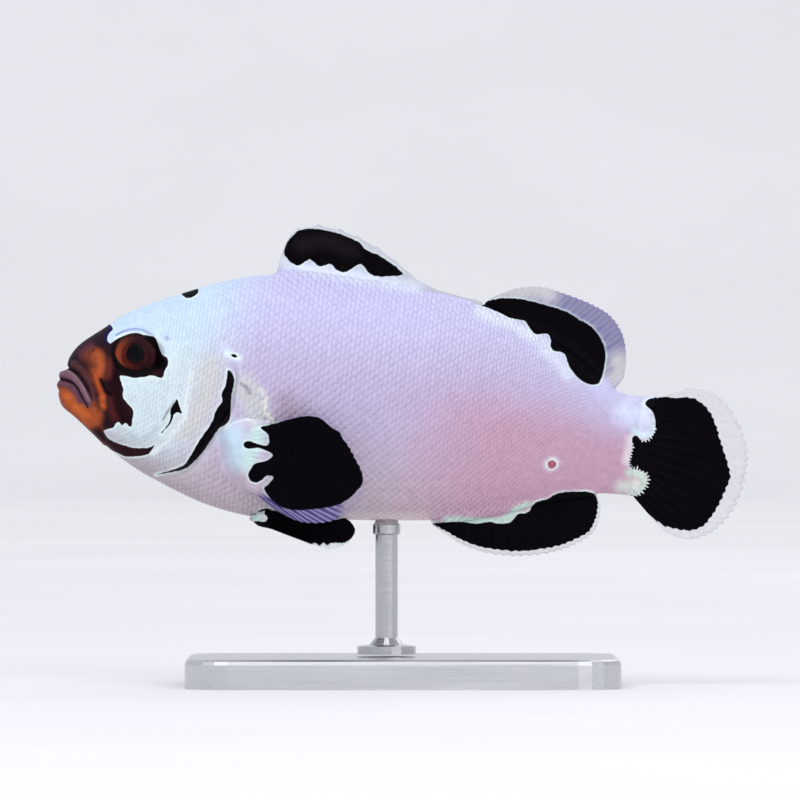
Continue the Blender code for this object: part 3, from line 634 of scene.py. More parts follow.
def joined(tree, operation, first, second):
    return addNode(tree, "Math", {0: first, 1: second}, operation=operation).outputs["Value"]


def times(tree, first, second):
    return joined(tree, "MULTIPLY", first, second)


def coloured(tree, share, first, second, blendType="MIX"):
    sockets = {0: share, 6: first, 7: second}
    return addNode(tree, "Mix", sockets, data_type="RGBA", blend_type=blendType).outputs[2]


def shadedBy(tree, colour, value):
    grey = addNode(tree, "CombineColor", {0: value, 1: value, 2: value}).outputs["Color"]
    return coloured(tree, 1.0, colour, grey, "MULTIPLY")


def bumpy(tree, height, strength, distance):
    sockets = {"Height": height, "Strength": strength, "Distance": distance}
    return addNode(tree, "Bump", sockets).outputs["Normal"]


def principled(tree, sockets):
    return addNode(tree, "BsdfPrincipled", sockets).outputs["BSDF"]


def overClear(tree, cover, shader):
    clear = addNode(tree, "BsdfTransparent").outputs["BSDF"]
    return addNode(tree, "MixShader", {0: cover, 1: clear, 2: shader}).outputs["Shader"]


def showSurface(tree, shader):
    addNode(tree, "OutputMaterial", {"Surface": shader})


skinFinish = {
    "edgeSoft": 0.045,  # mm over which black turns to pale
    "edgeWander": 0.19,
    "wanderScale": 1900.0,
    "rimWide": 0.36,
    "rimFull": 0.06,
    "rimTone": tone(226, 243, 240),
    "rimShare": 0.80,
    "rimScale": 520.0,
    "paleMottle": (0.90, 1.04),
    "paleScale": 1300.0,
    "darkMottle": (0.70, 1.20),
    "darkScale": 1500.0,
    "roughScale": 2600.0,
    "skin": {"roughness": (0.34, 0.50), "specular": 0.04, "wet": 0.30, "grainScale": 5200.0, "grain": 0.55},
    "fin": {"roughness": (0.36, 0.52), "specular": 0.03, "grainScale": 3800.0, "grain": 0.5},
    "coatRoughness": 0.24,
    "grainDepth": 0.00003,
}


# Pale and dark grounds meet at the painted edge, with a bright rim on the pale side
def paintedColour(tree):
    finish = skinFinish
    wander = joined(tree, "SUBTRACT", noise(tree, finish["wanderScale"], 2.0), 0.5)
    edge = joined(tree, "ADD", attribute(tree, "edge"), times(tree, wander, finish["edgeWander"]))
    uneven = times(tree, noise(tree, tailComb["unevenScale"], 2.0), tailComb["uneven"])
    phase = joined(tree, "ADD", times(tree, attribute(tree, "arc"), math.tau / tailComb["pitch"]), uneven)
    cuts = [share * tailComb["cut"] for share in tailComb["cutSpread"]]
    deep = ranged(tree, noise(tree, tailComb["cutScale"], 2.0), 0.3, 0.7, *cuts)
    teeth = times(tree, ranged(tree, joined(tree, "COSINE", phase, 0.0), -0.7, 0.9), deep)
    edge = joined(tree, "ADD", edge, times(tree, teeth, attribute(tree, "comb")))
    ink = ranged(tree, edge, finish["edgeSoft"], -finish["edgeSoft"], curve="SMOOTHSTEP")
    rim = ranged(tree, edge, finish["rimWide"], finish["rimFull"], 0.0, finish["rimShare"], "SMOOTHSTEP")
    broken = ranged(tree, noise(tree, finish["rimScale"]), 0.36, 0.62, 0.35, 1.0)
    rim = times(tree, times(tree, rim, attribute(tree, "rim")), broken)
    mottled = ranged(tree, noise(tree, finish["paleScale"], 5.0, 0.62), 0.3, 0.7, *finish["paleMottle"])
    darkMottled = ranged(tree, noise(tree, finish["darkScale"], 5.0, 0.65), 0.3, 0.7, *finish["darkMottle"])
    pale = shadedBy(tree, attribute(tree, "pale", "Color"), mottled)
    dark = shadedBy(tree, attribute(tree, "dark", "Color"), darkMottled)
    return coloured(tree, ink, coloured(tree, rim, pale, finish["rimTone"]), dark), ink, rim


def fleshSockets(tree, colour, kind):
    finish = skinFinish[kind]
    rough = noise(tree, skinFinish["roughScale"], 4.0)
    grain = noise(tree, finish["grainScale"], 4.0, 0.6)
    return {
        "Base Color": colour,
        "Roughness": ranged(tree, rough, 0.35, 0.65, *finish["roughness"]),
        "Specular IOR Level": finish["specular"],
        "Normal": bumpy(tree, grain, finish["grain"], skinFinish["grainDepth"]),
    }


def skinMaterial(name, shaded=False):
    material, tree = newMaterial(name)
    colour, ink, _ = paintedColour(tree)
    if shaded:
        # The shade attribute is random tone per scale times the painted light on the scale edges
        colour = shadedBy(tree, colour, attribute(tree, "shade"))
    sockets = fleshSockets(tree, colour, "skin")
    sockets["Coat Weight"] = ranged(tree, ink, 0.0, 0.9, skinFinish["skin"]["wet"], 0.0)
    sockets["Coat Roughness"] = skinFinish["coatRoughness"]
    showSurface(tree, principled(tree, sockets))
    return material


def finMaterial(name):
    material, tree = newMaterial(name)
    colour, ink, rim = paintedColour(tree)
    cover = joined(tree, "MAXIMUM", attribute(tree, "film"), joined(tree, "MAXIMUM", ink, rim))
    showSurface(tree, overClear(tree, cover, principled(tree, fleshSockets(tree, colour, "fin"))))
    return material


# The skin, one closed form from the lips to the tail root
skinMesh = {
    "around": 276, "along": 352, "sideShare": 0.18,
    "spacing": [(0.0, 0.07), (11.0, 0.07), (14.0, 0.13), (21.0, 0.13), (27.0, 0.50), (60.0, 0.50),
        (64.0, 0.24), (70.0, 0.24)],
}
fleshNodes = ("head", "upper_lip", "lower_jaw", "gill_cover_left", "gill_cover_right", "trunk_front",
              "trunk_rear", "tail_base")


def ringPlaces(count):
    length = np.max(np.abs(np.diff(sampledRings, axis=0)), axis=1)
    spacing = np.interp(sampledRings[:-1, 0], *zip(*skinMesh["spacing"]))
    weight = np.concatenate([[0.0], np.cumsum(length / spacing)])
    return np.interp(np.linspace(0.0, weight[-1], count + 1), weight, sampledPlace)


def buildSkin():
    shape = bmesh.new()
    around, along = skinMesh["around"], skinMesh["along"]
    bmesh.ops.create_uvsphere(shape, u_segments=around, v_segments=along, radius=1.0)
    mesh = meshFrom(shape, "skin")
    ball = pointsOf(mesh)
    row = np.arccos(np.clip(ball[:, 2], -1.0, 1.0)) / math.pi
    turn = np.arctan2(ball[:, 1], ball[:, 0]) % math.tau
    turn = (turn + skinMesh["sideShare"] * np.sin(2.0 * turn)) / math.tau
    points = skinPoint(np.interp(row * along, np.arange(along + 1), ringPlaces(along)), turn)
    tailPole = row > 0.9999
    points[tailPole, 1] = 0.0
    points[tailPole, 2] = np.mean(points[row > 0.995, 2])
    setAttributes(mesh, markings(points[:, 0], points[:, 2], bodyPatches))
    setPoints(mesh, points)
    facesOut(mesh)
    return addPiece("skin", mesh, skinMaterial("pearlSkin"), fleshNodes)


# Scales: thin plates that follow the skin, each over the next one behind it
coat = {
    "trunkRows": 35, "headRows": 38,
    "trunkSpan": (11.0, 67.2), "headSpan": (5.0, 20.6),
    "trunkSplit": 38.0,  # where the flank's coat is parted into two pieces
    "alongShare": 0.56,  # column pitch as a share of a scale's height
    "overlap": 2.1, "tallOverlap": 1.16,
    "trunkLength": 0.9, "headLength": 0.5,  # bare flesh is kept this far behind a root
    "rootWide": 0.62, "round": 0.26, "rootedAt": 0.35,
    "rise": 0.016, "headRise": 0.55, "thick": 0.014, "sunk": 0.03,
    "settle": 1.1,  # mm beside bare flesh over which scales grow to their full size
    "patch": 0.003,
    # shadeSpread is random tone from scale to scale; the edge light after it is painted light on the scales'
    # side walls
    "shadeSpread": 0.018, "paintedEdgeLight": 1.12,
}
# The coat is parted along the gill slit, drawn on above and below it, and ends beside bare flesh
gillAbove = [(16.5, 16.0), (17.5, 10.5), (18.6, 6.6)]
gillBelow = [(10.0, -13.0)]
bareBorders = {
    "mask": 0.10, "gillBand": 0.30, "cheekMark": 0.42, "sideSpot": 0.30, "finBase": 0.20, "slit": 0.75,
    "eye": (3.4, 3.45), "snout": 5.0,
}


def scaleTemplate(alongSteps, acrossSteps):
    shape = bmesh.new()
    bmesh.ops.create_grid(shape, x_segments=alongSteps, y_segments=acrossSteps, size=0.5)
    for vert in shape.verts:
        vert.co.z = 1.0
    moved = bmesh.ops.extrude_face_region(shape, geom=shape.faces[:])["geom"]
    lower = [item for item in moved if isinstance(item, bmesh.types.BMVert)]
    bmesh.ops.translate(shape, vec=(0.0, 0.0, -1.0), verts=lower)
    under = [face for face in shape.faces if all(vert.co.z < 0.5 for vert in face.verts)]
    bmesh.ops.dissolve_faces(shape, faces=under, use_verts=True)
    bmesh.ops.recalc_face_normals(shape, faces=shape.faces)
    shape.verts.index_update()
    corners = np.array([tuple(vert.co) for vert in shape.verts])
    faces = [[vert.index for vert in face.verts] for face in shape.faces]
    shape.free()
    return corners, faces


# Arc length round each ring, so that the rows are even
ringTurns = np.linspace(0.0, 0.5, 61)


def sideArc(place):
    ring = bodyPoint(np.full(len(ringTurns), place), ringTurns)
    return np.concatenate([[0.0], np.cumsum(np.linalg.norm(np.diff(ring, axis=0), axis=1))])


def scaleRoots(rows, startX, endX, keep):
    roots = []
    x = startX
    column = 0
    while x < endX:
        place = float(np.interp(x, sampledMiddle, sampledPlace))
        arc = sideArc(place)
        tall = arc[-1] / rows
        pitch = tall * coat["alongShare"]
        across = (np.arange(rows) + (0.5 if column % 2 else 0.0) + 0.25) * tall
        roots.extend((place, turn, tall, pitch) for turn in np.interp(across, arc, ringTurns))
        x += pitch
        column += 1
    roots = np.array(roots)
    points = bodyPoint(roots[:, 0], roots[:, 1])
    return roots[keep(points[:, 0], points[:, 2])]


def aheadOfGill(x, z):
    border = smoothLine(gillAbove + gillSlit["line"][1:] + gillBelow, 3)
    _, side, _ = nearest(x, z, border, 60.0)
    return side < 0


# Distance on the side view to the nearest bare flesh, below zero inside it
def clearance(x, z):
    bare = outlineDistance(x, z, maskLoop, 4.0) - bareBorders["mask"]
    for name in ("gillBand", "cheekMark", "sideSpot"):
        bare = np.minimum(bare, outlineDistance(x, z, patchLoops[name], 4.0) - bareBorders[name])
    bare = np.minimum(bare, nearest(x, z, smoothLine(strokes[0][2]), 4.0)[0] - bareBorders["cheekMark"])
    bare = np.minimum(bare, outlineDistance(x, z, finBaseLoop, 4.0) - bareBorders["finBase"])
    gap, side, share = nearest(x, z, gillLine, 4.0)
    bare = np.minimum(bare, np.where((side > 0) & (share < 0.9), gap - bareBorders["slit"], 4.0))
    across, high = bareBorders["eye"]
    bare = np.minimum(bare, eye["radius"] * (np.hypot((x - eyeX) / across, (z - eyeZ) / high) - 1.0))
    return np.minimum(bare, x - bareBorders["snout"])


# The same for a scale that starts here and reaches on behind
def roomBehind(x, z, length):
    return np.minimum(np.minimum(clearance(x, z), clearance(x + 0.5 * length, z)), clearance(x + length, z))


def headZone(x, z):
    return aheadOfGill(x, z) & (roomBehind(x, z, coat["headLength"]) > 0.0)


def trunkZone(x, z):
    return ~aheadOfGill(x, z) & (roomBehind(x, z, coat["trunkLength"]) > 0.0)


# Length on the surface for one step of place and of turn at each root
def surfaceSteps(place, turn):
    along = np.linalg.norm(bodyPoint(place + 0.02, turn) - bodyPoint(place - 0.02, turn), axis=1) / 0.04
    around = np.linalg.norm(bodyPoint(place, turn + 0.002) - bodyPoint(place, turn - 0.002), axis=1) / 0.004
    return np.maximum(along, 0.05), np.maximum(around, 0.05)


def buildCoat(name, side, roots, template, rise, seed, material):
    corners, faces = template
    count, size = len(roots), len(corners)
    rng = np.random.default_rng(seed)
    place, turn, tall, pitch = roots.T
    alongStep, aroundStep = surfaceSteps(place, turn)
    along, across, upper = corners[:, 0] + 0.5, corners[:, 1] * 2.0, corners[:, 2] > 0.5
    # A fan: narrow at the root, round at the rear edge
    narrow = coat["rootWide"]
    reach = along * (1.0 - coat["round"] * across**2)
    wide = across * (narrow + (1.0 - narrow) * np.sin(np.clip(along / 0.6, 0.0, 1.0) * math.pi / 2))
    rooted = bodyPoint(place, turn)
    settled = smooth(0.0, coat["settle"], clearance(rooted[:, 0], rooted[:, 2]))
    grown = rng.uniform(0.94, 1.06, count) * (0.75 + 0.25 * settled)
    reachAll = (reach[None] - coat["rootedAt"]) * (pitch * coat["overlap"] * grown / alongStep)[:, None]
    wideAll = wide[None] * (0.5 * tall * coat["tallOverlap"] * grown / aroundStep)[:, None]
    lift = -coat["sunk"] + (coat["sunk"] + rise) * smooth(0.0, 1.0, reach)
    lift = lift + 0.25 * rise * (1.0 - across**2) * along
    lift = np.where(upper, lift, np.minimum(lift - coat["thick"], -0.01 + 0.6 * rise * reach))
    liftAll = lift[None] * (rng.uniform(0.85, 1.15, count) * (0.25 + 0.75 * settled))[:, None]
    places = (place[:, None] + reachAll).ravel()
    turns = np.clip((turn[:, None] + wideAll).ravel(), 0.0005, 0.4995)
    points = skinPoint(places, turns, liftAll.ravel())
    points[:, 1] *= side
    faceList = [[start + index for index in face] for start in range(0, count * size, size) for face in faces]
    mesh = bpy.data.meshes.new(name)
    mesh.from_pydata(np.zeros((count * size, 3)).tolist(), [], faceList)
    values = markings(points[:, 0], points[:, 2], bodyPatches)
    shade = 1.0 + rng.uniform(-coat["shadeSpread"], coat["shadeSpread"], count)
    # Painted light: the scales' thin side walls are painted brighter to lift the shade they get, and each top
    # is painted a little lighter towards its rear edge
    paintedEdgeLight = np.where(upper, 0.985 + 0.02 * smooth(0.4, 1.0, reach), coat["paintedEdgeLight"])
    values["shade"] = (shade[:, None] * paintedEdgeLight[None]).ravel()
    setAttributes(mesh, values)
    setPoints(mesh, points)
    # Each scale's own patch, at its root's place on the unwrapped side
    u = 0.02 + 0.94 * (rooted[:, 0] - rooted[:, 0].min()) / max(np.ptp(rooted[:, 0]), 1e-6)
    v = 0.02 + 0.94 * turn / 0.5
    patchU = (u[:, None] + along[None] * coat["patch"]).ravel()
    patchV = (v[:, None] + across[None] * 0.5 * coat["patch"]).ravel()
    loopVerts = np.empty(len(mesh.loops), np.int32)
    mesh.loops.foreach_get("vertex_index", loopVerts)
    uv = mesh.uv_layers.new(name="OFBake")
    uv.data.foreach_set("uv", np.stack((patchU[loopVerts], patchV[loopVerts]), 1).astype(np.float32).ravel())
    facesOut(mesh)
    return addPiece(name, mesh, material)


# Fins: thin webs over tapering rays, nearly clear above webBelow and behind webUntil
finForm = {
    "sunk": 0.9, "forkSpan": (0.30, 0.95), "rayWidth": 0.13, "rootSpread": 0.34, "webHalf": 0.075,
    "paintSpan": (0.16, 0.45),
}
finShapes = {
    "dorsal_fin_front": {
        "rootSpan": (23.6, 47.4), "line": "back",
        "margin": [(24.0, 18.3), (24.9, 21.0), (27.2, 22.15), (30.0, 22.1), (32.4, 21.5), (35.0, 20.4),
            (37.4, 19.0), (39.4, 17.6), (41.8, 16.5), (44.9, 15.9), (47.8, 15.55)],
        "rays": 11, "fork": 0.0, "rayHalf": 0.16, "rootHalf": 0.70, "notch": 0.04, "columns": 210,
        "rows": 36, "patches": ("frontDorsal",), "web": tone(200, 202, 216), "film": (0.85, 0.45),
        "saw": 0.04, "rim": (0.9, 0.7),
    },
    "dorsal_fin_rear": {
        "rootSpan": (47.3, 63.6), "line": "back",
        "margin": [(48.4, 15.9), (51.2, 17.4), (54.2, 18.0), (57.2, 17.5), (60.2, 16.7), (62.6, 15.6),
            (64.3, 13.6), (65.0, 11.0), (65.0, 8.6)],
        "rays": 17, "fork": 0.24, "rayHalf": 0.09, "rootHalf": 0.62, "notch": 0.02, "columns": 240,
        "rows": 36, "patches": ("rearDorsal",), "web": tone(128, 124, 168), "film": (0.86, 0.72),
        "saw": 0.05, "rim": (1.0, 0.8),
    },
    "anal_fin": {
        "rootSpan": (44.2, 63.0), "line": "belly",
        "margin": [(45.0, -10.9), (46.6, -11.75), (48.9, -12.8), (52.0, -13.4), (55.4, -13.3),
            (58.6, -12.6), (61.2, -11.5), (63.3, -9.9), (64.0, -8.2), (64.0, -6.5)],
        "rays": 15, "fork": 0.24, "rayHalf": 0.09, "rootHalf": 0.58, "notch": 0.03, "columns": 220,
        "rows": 34, "patches": ("anal",), "web": tone(220, 214, 222), "film": (0.80, 0.45), "saw": 0.10,
        "rim": (1.0, 0.6),
    },
    "caudal_fin": {
        "root": [(65.9, 5.2), (65.3, 2.4), (65.3, -0.6), (65.9, -3.35)],
        "margin": [(72.6, 8.35), (75.3, 8.05), (77.6, 6.5), (79.3, 4.1), (80.3, 1.4), (80.3, -1.2),
            (79.8, -4.0), (78.6, -6.5), (76.8, -8.3), (74.5, -9.2), (71.6, -8.6)],
        "rays": 15, "fork": 0.24, "rayHalf": 0.10, "rootHalf": 0.70, "rootSpread": 0.44, "notch": 0.02,
        "columns": 240, "rows": 52, "patches": ("tail",), "web": tone(220, 214, 222), "film": (0.60, 0.32),
        "saw": 0.14, "rim": (1.0, 0.5),
    },
    "pectoral_fin": {
        "root": [(22.9, -2.0), (22.3, -5.2), (23.3, -8.9)],
        "margin": [(27.0, -0.3), (30.4, 0.5), (33.0, -1.2), (35.0, -3.7), (36.7, -6.6), (36.2, -9.3),
            (33.6, -11.5), (30.0, -12.1), (26.6, -11.0)],
        "rays": 18, "fork": 0.24, "rayHalf": 0.09, "rootHalf": 0.50, "notch": 0.015, "columns": 230,
        "rows": 46, "patches": ("breast",), "web": tone(142, 132, 190), "film": (0.92, 0.72), "saw": 0.02,
        "rim": (1.0, 0.0), "webBelow": -9.3, "webUntil": 33.4, "between": tone(66, 62, 118),
        "betweenSpan": (-8.6, -9.8), "rootOut": 0.50, "flare": 0.27, "cup": 0.5,
    },
    "pelvic_fin": {
        "root": [(23.9, -12.6), (24.5, -12.0), (25.6, -11.4)],
        "margin": [(31.4, -14.5), (33.2, -14.9), (35.0, -14.3), (36.1, -12.9), (35.8, -11.9),
            (34.8, -11.1)],
        "rays": 6, "fork": 0.24, "rayHalf": 0.13, "rootHalf": 0.55, "notch": 0.004, "columns": 110,
        "rows": 44, "patches": ("pelvic",), "web": tone(200, 224, 222), "film": (0.95, 0.55), "saw": 0.01,
        "rim": (1.0, 0.4), "webBelow": -30.0, "webUntil": 99.0, "rootOut": 1.5, "splay": 3.2,
        "bellySpan": (-13.2, -11.9),
    },
}
webTouches = [
    ((206, 206, 212), 1.2, 1.4, [(47.0, 15.8), (50.0, 17.0), (53.5, 17.6), (55.0, 17.4)]),
    ((208, 204, 210), 1.0, 1.2, [(64.2, 10.4), (64.4, 9.0), (63.6, 8.0)]),
    ((226, 232, 244), 0.7, 0.7, [(24.4, 17.4), (28.0, 17.0), (32.0, 16.9), (36.0, 16.6), (40.0, 16.2)]),
    ((180, 226, 218), 0.50, 0.24, [(24.7, -12.3), (25.1, -12.1)]),
    ((206, 232, 230), 1.6, 1.0, [(25.0, -2.0), (24.8, -4.6), (24.6, -7.0)]),
    ((200, 232, 218), 0.50, 0.30, [(46.5, -10.1), (50.5, -9.8), (52.3, -9.6), (53.6, -9.0), (54.5, -8.0),
        (55.6, -7.4)]),
]


def rayRidges(share, reach, plan):
    phase = share * plan["rays"]
    off = np.abs(phase - np.floor(phase) - 0.5)
    fork = plan["fork"] * smooth(*finForm["forkSpan"], reach)
    return bell(off - fork, finForm["rayWidth"])


def finPoint(share, reach, plan, side):
    margin = blend(plan["margin"], share * (len(plan["margin"]) - 1))
    if "rootSpan" in plan:
        start, end = plan["rootSpan"]
        rootX = start + (end - start) * share
        onBack = plan["line"] == "back"
        line = backHeight(rootX) - finForm["sunk"] if onBack else bellyHeight(rootX) + finForm["sunk"]
        root = np.stack((rootX, line), 1)
    else:
        root = blend(plan["root"], share * (len(plan["root"]) - 1))
    flat = root + (margin - root) * reach[:, None]
    if side == 0:
        return np.stack((flat[:, 0], np.zeros(len(flat)), flat[:, 1]), 1)
    if "flare" in plan:
        long = np.hypot(*(margin - root).T)
        out = flankOut(root[:, 0], root[:, 1]) + plan["flare"] * long * reach
        out += plan["rootOut"] * (0.15 + 0.85 * smooth(0.0, 0.14, share) * smooth(0.0, 0.14, 1.0 - share))
        out -= plan["cup"] * np.sin(math.pi * share) * reach * (1.0 - reach) * 2.0
    else:
        out = plan["rootOut"] + plan["splay"] * (1.0 - 0.8 * share) * reach
        beside = flankOut(flat[:, 0], flat[:, 1]) * smooth(*plan["bellySpan"], flat[:, 1])
        out = np.maximum(out, beside + 0.15 + 0.5 * reach)
    return np.stack((flat[:, 0], side * out, flat[:, 1]), 1)


def finNormal(share, reach, plan, side):
    if side == 0:
        return np.repeat([[0.0, 1.0, 0.0]], len(share), 0)
    near = 0.004
    along = finPoint(share + near, reach, plan, side) - finPoint(share - near, reach, plan, side)
    out = finPoint(share, reach + near, plan, side) - finPoint(share, reach - near, plan, side)
    normal = np.cross(along, out)
    return normal / np.maximum(np.linalg.norm(normal, axis=1), 1e-9)[:, None]


# Half the fin's thickness: a fleshy root, a thin web, and the rays on it
def finHalf(share, reach, ridge, plan):
    ends = 0.15 + 0.85 * smooth(0.0, 0.10, share) * smooth(0.0, 0.10, 1.0 - share)
    half = plan["rootHalf"] * ends * (1.0 - smooth(0.0, plan.get("rootSpread", finForm["rootSpread"]), reach))
    half += finForm["webHalf"] * (1.0 - 0.6 * reach)
    return half + plan["rayHalf"] * ridge * (1.0 - 0.8 * reach) * smooth(0.0, 0.12, reach)


def finPaint(points, reach, ridge, plan):
    x, z = points[:, 0], points[:, 2]
    values = markings(x, z, plan["patches"], onFace=False)
    values["edge"] = values["edge"] + plan["saw"] * (0.5 - ridge) * smooth(0.3, 0.8, reach)
    body = smooth(*finForm["paintSpan"], reach)
    web = touch(np.repeat(plan["web"][None], len(points), 0), x, z, webTouches)
    web = mix(web, web * 0.75 + 0.20, ridge * 0.6)
    if "between" in plan:
        web = mix(web, plan["between"], (1.0 - ridge) * smooth(*plan["betweenSpan"], z))
    values["pale"] = mix(values["pale"], web, body)
    thick, thin = plan["film"]
    film = thick + (thin - thick) * smooth(0.2, 1.0, reach)
    film = np.clip(film + 0.25 * ridge * (1.0 - reach) + 0.35 * smooth(0.965, 1.0, reach), 0.0, 1.0)
    if "webBelow" in plan:
        below, until = -plan["webBelow"], -plan["webUntil"]
        film *= 0.12 + 0.88 * smooth(below - 1.0, below + 0.4, -z) * smooth(until - 1.5, until, -x)
    values["film"] = 1.0 - (1.0 - film) * body
    values["rim"] = plan["rim"][0] + (plan["rim"][1] - plan["rim"][0]) * body
    return values


def buildFin(name, plan, side, node, material):
    shape = bmesh.new()
    bmesh.ops.create_grid(shape, x_segments=plan["columns"], y_segments=plan["rows"], size=0.5)
    bmesh.ops.solidify(shape, geom=shape.faces[:], thickness=0.1)
    mesh = meshFrom(shape, name)
    corners = pointsOf(mesh)
    share, reach = np.clip(corners[:, 0] + 0.5, 0.0, 1.0), np.clip(corners[:, 1] + 0.5, 0.0, 1.0)
    face = np.sign(corners[:, 2] - corners[:, 2].mean())
    ridge = rayRidges(share, reach, plan)
    cut = reach * (1.0 - plan["notch"] * (1.0 - ridge) * smooth(0.55, 1.0, reach))
    outward = finNormal(share, cut, plan, side) * (face * finHalf(share, reach, ridge, plan))[:, None]
    points = finPoint(share, cut, plan, side) + outward
    setAttributes(mesh, finPaint(points, reach, ridge, plan))
    setPoints(mesh, points)
    facesOut(mesh)
    return addPiece(name, mesh, material, (node,))


def eyeMesh(name, shape, side):
    bmesh.ops.rotate(shape, verts=shape.verts, matrix=Matrix.Rotation(-side * math.pi / 2, 3, "X"))
    mesh = meshFrom(shape, name)
    return mesh, pointsOf(mesh)


# Eyes: a ball with a sunk iris and pupil behind a clear front
def buildEyeball(side, sideName, material):
    shape = bmesh.new()
    bmesh.ops.create_uvsphere(shape, u_segments=96, v_segments=96, radius=1.0)
    mesh, ball = eyeMesh("eyeball_" + sideName, shape, side)
    flat = eye["radius"] * eye["flat"]
    x, z = ball[:, 0] * eye["radius"] * eye["ball"], ball[:, 2] * eye["radius"] * eye["ball"]
    front = np.abs(ball[:, 1]) * flat * eye["ball"]
    outer = ball[:, 1] * side > 0
    apart = np.hypot(x, z)
    fromPupil = np.hypot(x - eye["pupilAt"][0], z - eye["pupilAt"][1])
    sunk = flat * math.sqrt(1.0 - (eye["iris"] / eye["radius"]) ** 2)
    sunk = sunk + eye["irisDip"] * (1.0 - smooth(0.6, eye["iris"], apart))
    sunk -= eye["pupilDip"] * (1.0 - smooth(0.95, 1.20, fromPupil))
    dish = np.where(outer & (apart < eye["iris"]), np.minimum(front - 0.02, sunk), front)
    points = np.stack((x + eyeX, side * eyeOut + np.where(outer, side, -side) * dish, z + eyeZ), 1)
    spoke = np.stack((x, z, 0.25 * apart**2), 1) / np.maximum(apart, 0.3)[:, None]
    setAttributes(mesh, {"apart": apart, "fromPupil": fromPupil, "spoke": spoke})
    setPoints(mesh, points)
    facesOut(mesh)
    addPiece("eyeball_" + sideName, mesh, material, ("eye_" + sideName,))


def buildCornea(side, sideName, material):
    shape = bmesh.new()
    bmesh.ops.create_uvsphere(shape, u_segments=64, v_segments=64, radius=1.0)
    bmesh.ops.bisect_plane(shape, geom=shape.verts[:] + shape.edges[:] + shape.faces[:],
                           plane_co=(0, 0, eye["corneaCut"]), plane_no=(0, 0, 1), clear_inner=True)
    bmesh.ops.solidify(shape, geom=shape.faces[:], thickness=eye["corneaThick"])
    mesh, points = eyeMesh("cornea_" + sideName, shape, side)
    spread = (eye["radius"], eye["radius"] * eye["flat"], eye["radius"])
    setPoints(mesh, points * spread + (eyeX, side * eyeOut, eyeZ))
    facesOut(mesh)
    addPiece("cornea_" + sideName, mesh, material)


# Share of the way from the pupil to the lid, and the colour there: the first ramp is the ring painted in
# shade, the second the ring painted as lit
irisTones = {
    "shade": [(0.0, tone(26, 8, 12)), (0.14, tone(70, 20, 22)), (0.26, tone(34, 10, 16)),
        (0.55, tone(42, 15, 22)), (0.74, tone(62, 24, 28)), (0.86, tone(38, 16, 20)),
        (1.0, tone(22, 12, 14))],
    "litRing": [(0.0, tone(40, 12, 14)), (0.16, tone(104, 32, 24)), (0.30, tone(62, 20, 20)),
        (0.55, tone(142, 62, 36)), (0.80, tone(146, 64, 36)), (0.92, tone(104, 44, 30)),
        (1.0, tone(52, 22, 20))],
    "pupil": tone(3, 4, 7),
    "litSide": (-0.90, -0.43, 0.0),
}


def rampOf(tree, share, stops):
    ramp = addNode(tree, "ValToRGB", {"Fac": share})
    elements = ramp.color_ramp.elements
    elements[0].position, elements[1].position = stops[0][0], stops[-1][0]
    for position, _ in stops[1:-1]:
        elements.new(position)
    for element, (_, colour) in zip(elements, stops):
        element.color = (*colour, 1.0)
    return ramp.outputs["Color"]


def irisMaterial():
    material, tree = newMaterial("fishIris")
    share = ranged(tree, attribute(tree, "apart"), eye["pupil"] + 0.02, eye["iris"])
    # Fine threads run out from the pupil; the front and lower side of the ring is painted lit, brightest and
    # warmest, and the rest is painted in shade
    spoke = attribute(tree, "spoke", "Vector")
    sockets = {"Vector": spoke, "Scale": 9.0, "Detail": 4.0, "Roughness": 0.65}
    threads = addNode(tree, "TexNoise", sockets).outputs["Fac"]
    toward = addNode(tree, "VectorMath", {0: spoke, 1: irisTones["litSide"]}, operation="DOT_PRODUCT")
    litShare = ranged(tree, toward.outputs["Value"], -0.20, 0.95, 0.0, 1.0, "SMOOTHSTEP")
    shade, litRing = (rampOf(tree, share, irisTones[name]) for name in ("shade", "litRing"))
    iris = coloured(tree, litShare, shade, litRing)
    iris = shadedBy(tree, iris, ranged(tree, threads, 0.3, 0.7, 0.62, 1.25))
    pupil = ranged(tree, attribute(tree, "fromPupil"), eye["pupil"] + 0.07, eye["pupil"] - 0.07)
    sockets = {
        "Base Color": coloured(tree, pupil, iris, irisTones["pupil"]),
        "Roughness": ranged(tree, threads, 0.2, 0.8, 0.38, 0.6),
        "Specular IOR Level": 0.02,
        "Normal": bumpy(tree, threads, 0.5, 0.00005),
    }
    showSurface(tree, principled(tree, sockets))
    return material


# Barely there face on, and glossier towards the rim
def corneaMaterial():
    material, tree = newMaterial("clearCornea")
    gloss = addNode(tree, "BsdfGlossy", {"Roughness": 0.04}).outputs["BSDF"]
    facing = addNode(tree, "LayerWeight", {"Blend": 0.5}).outputs["Facing"]
    shine = joined(tree, "ADD", times(tree, joined(tree, "POWER", facing, 4.0), 0.10), 0.003)
    showSurface(tree, overClear(tree, shine, gloss))
    return material


# The stand keeps its solids and gets metal finishes
def metalMaterial(name, colour, rough, stretch, grainScale):
    material, tree = newMaterial(name)
    grain = noise(tree, grainScale, 4.0, 0.6, stretch)
    tinted = coloured(tree, ranged(tree, grain, 0.3, 0.7), colour * 0.88, colour)
    cloud = ranged(tree, noise(tree, 60.0), 0.35, 0.7, 0.0, 0.25)
    sockets = {
        "Metallic": 1.0,
        "Base Color": coloured(tree, cloud, tinted, colour * 0.8),
        "Roughness": ranged(tree, grain, 0.3, 0.7, *rough),
        "Normal": bumpy(tree, grain, 0.25, 0.00002),
    }
    showSurface(tree, principled(tree, sockets))
    return material


# A turned cap closes the gap between the rod and the belly, in mm
rodCap = {"radius": 1.60, "neck": 1.05, "below": 1.10, "shoulder": 0.15, "above": 0.95, "bevel": 0.14,
          "steps": 72, "sharp": 35.0}


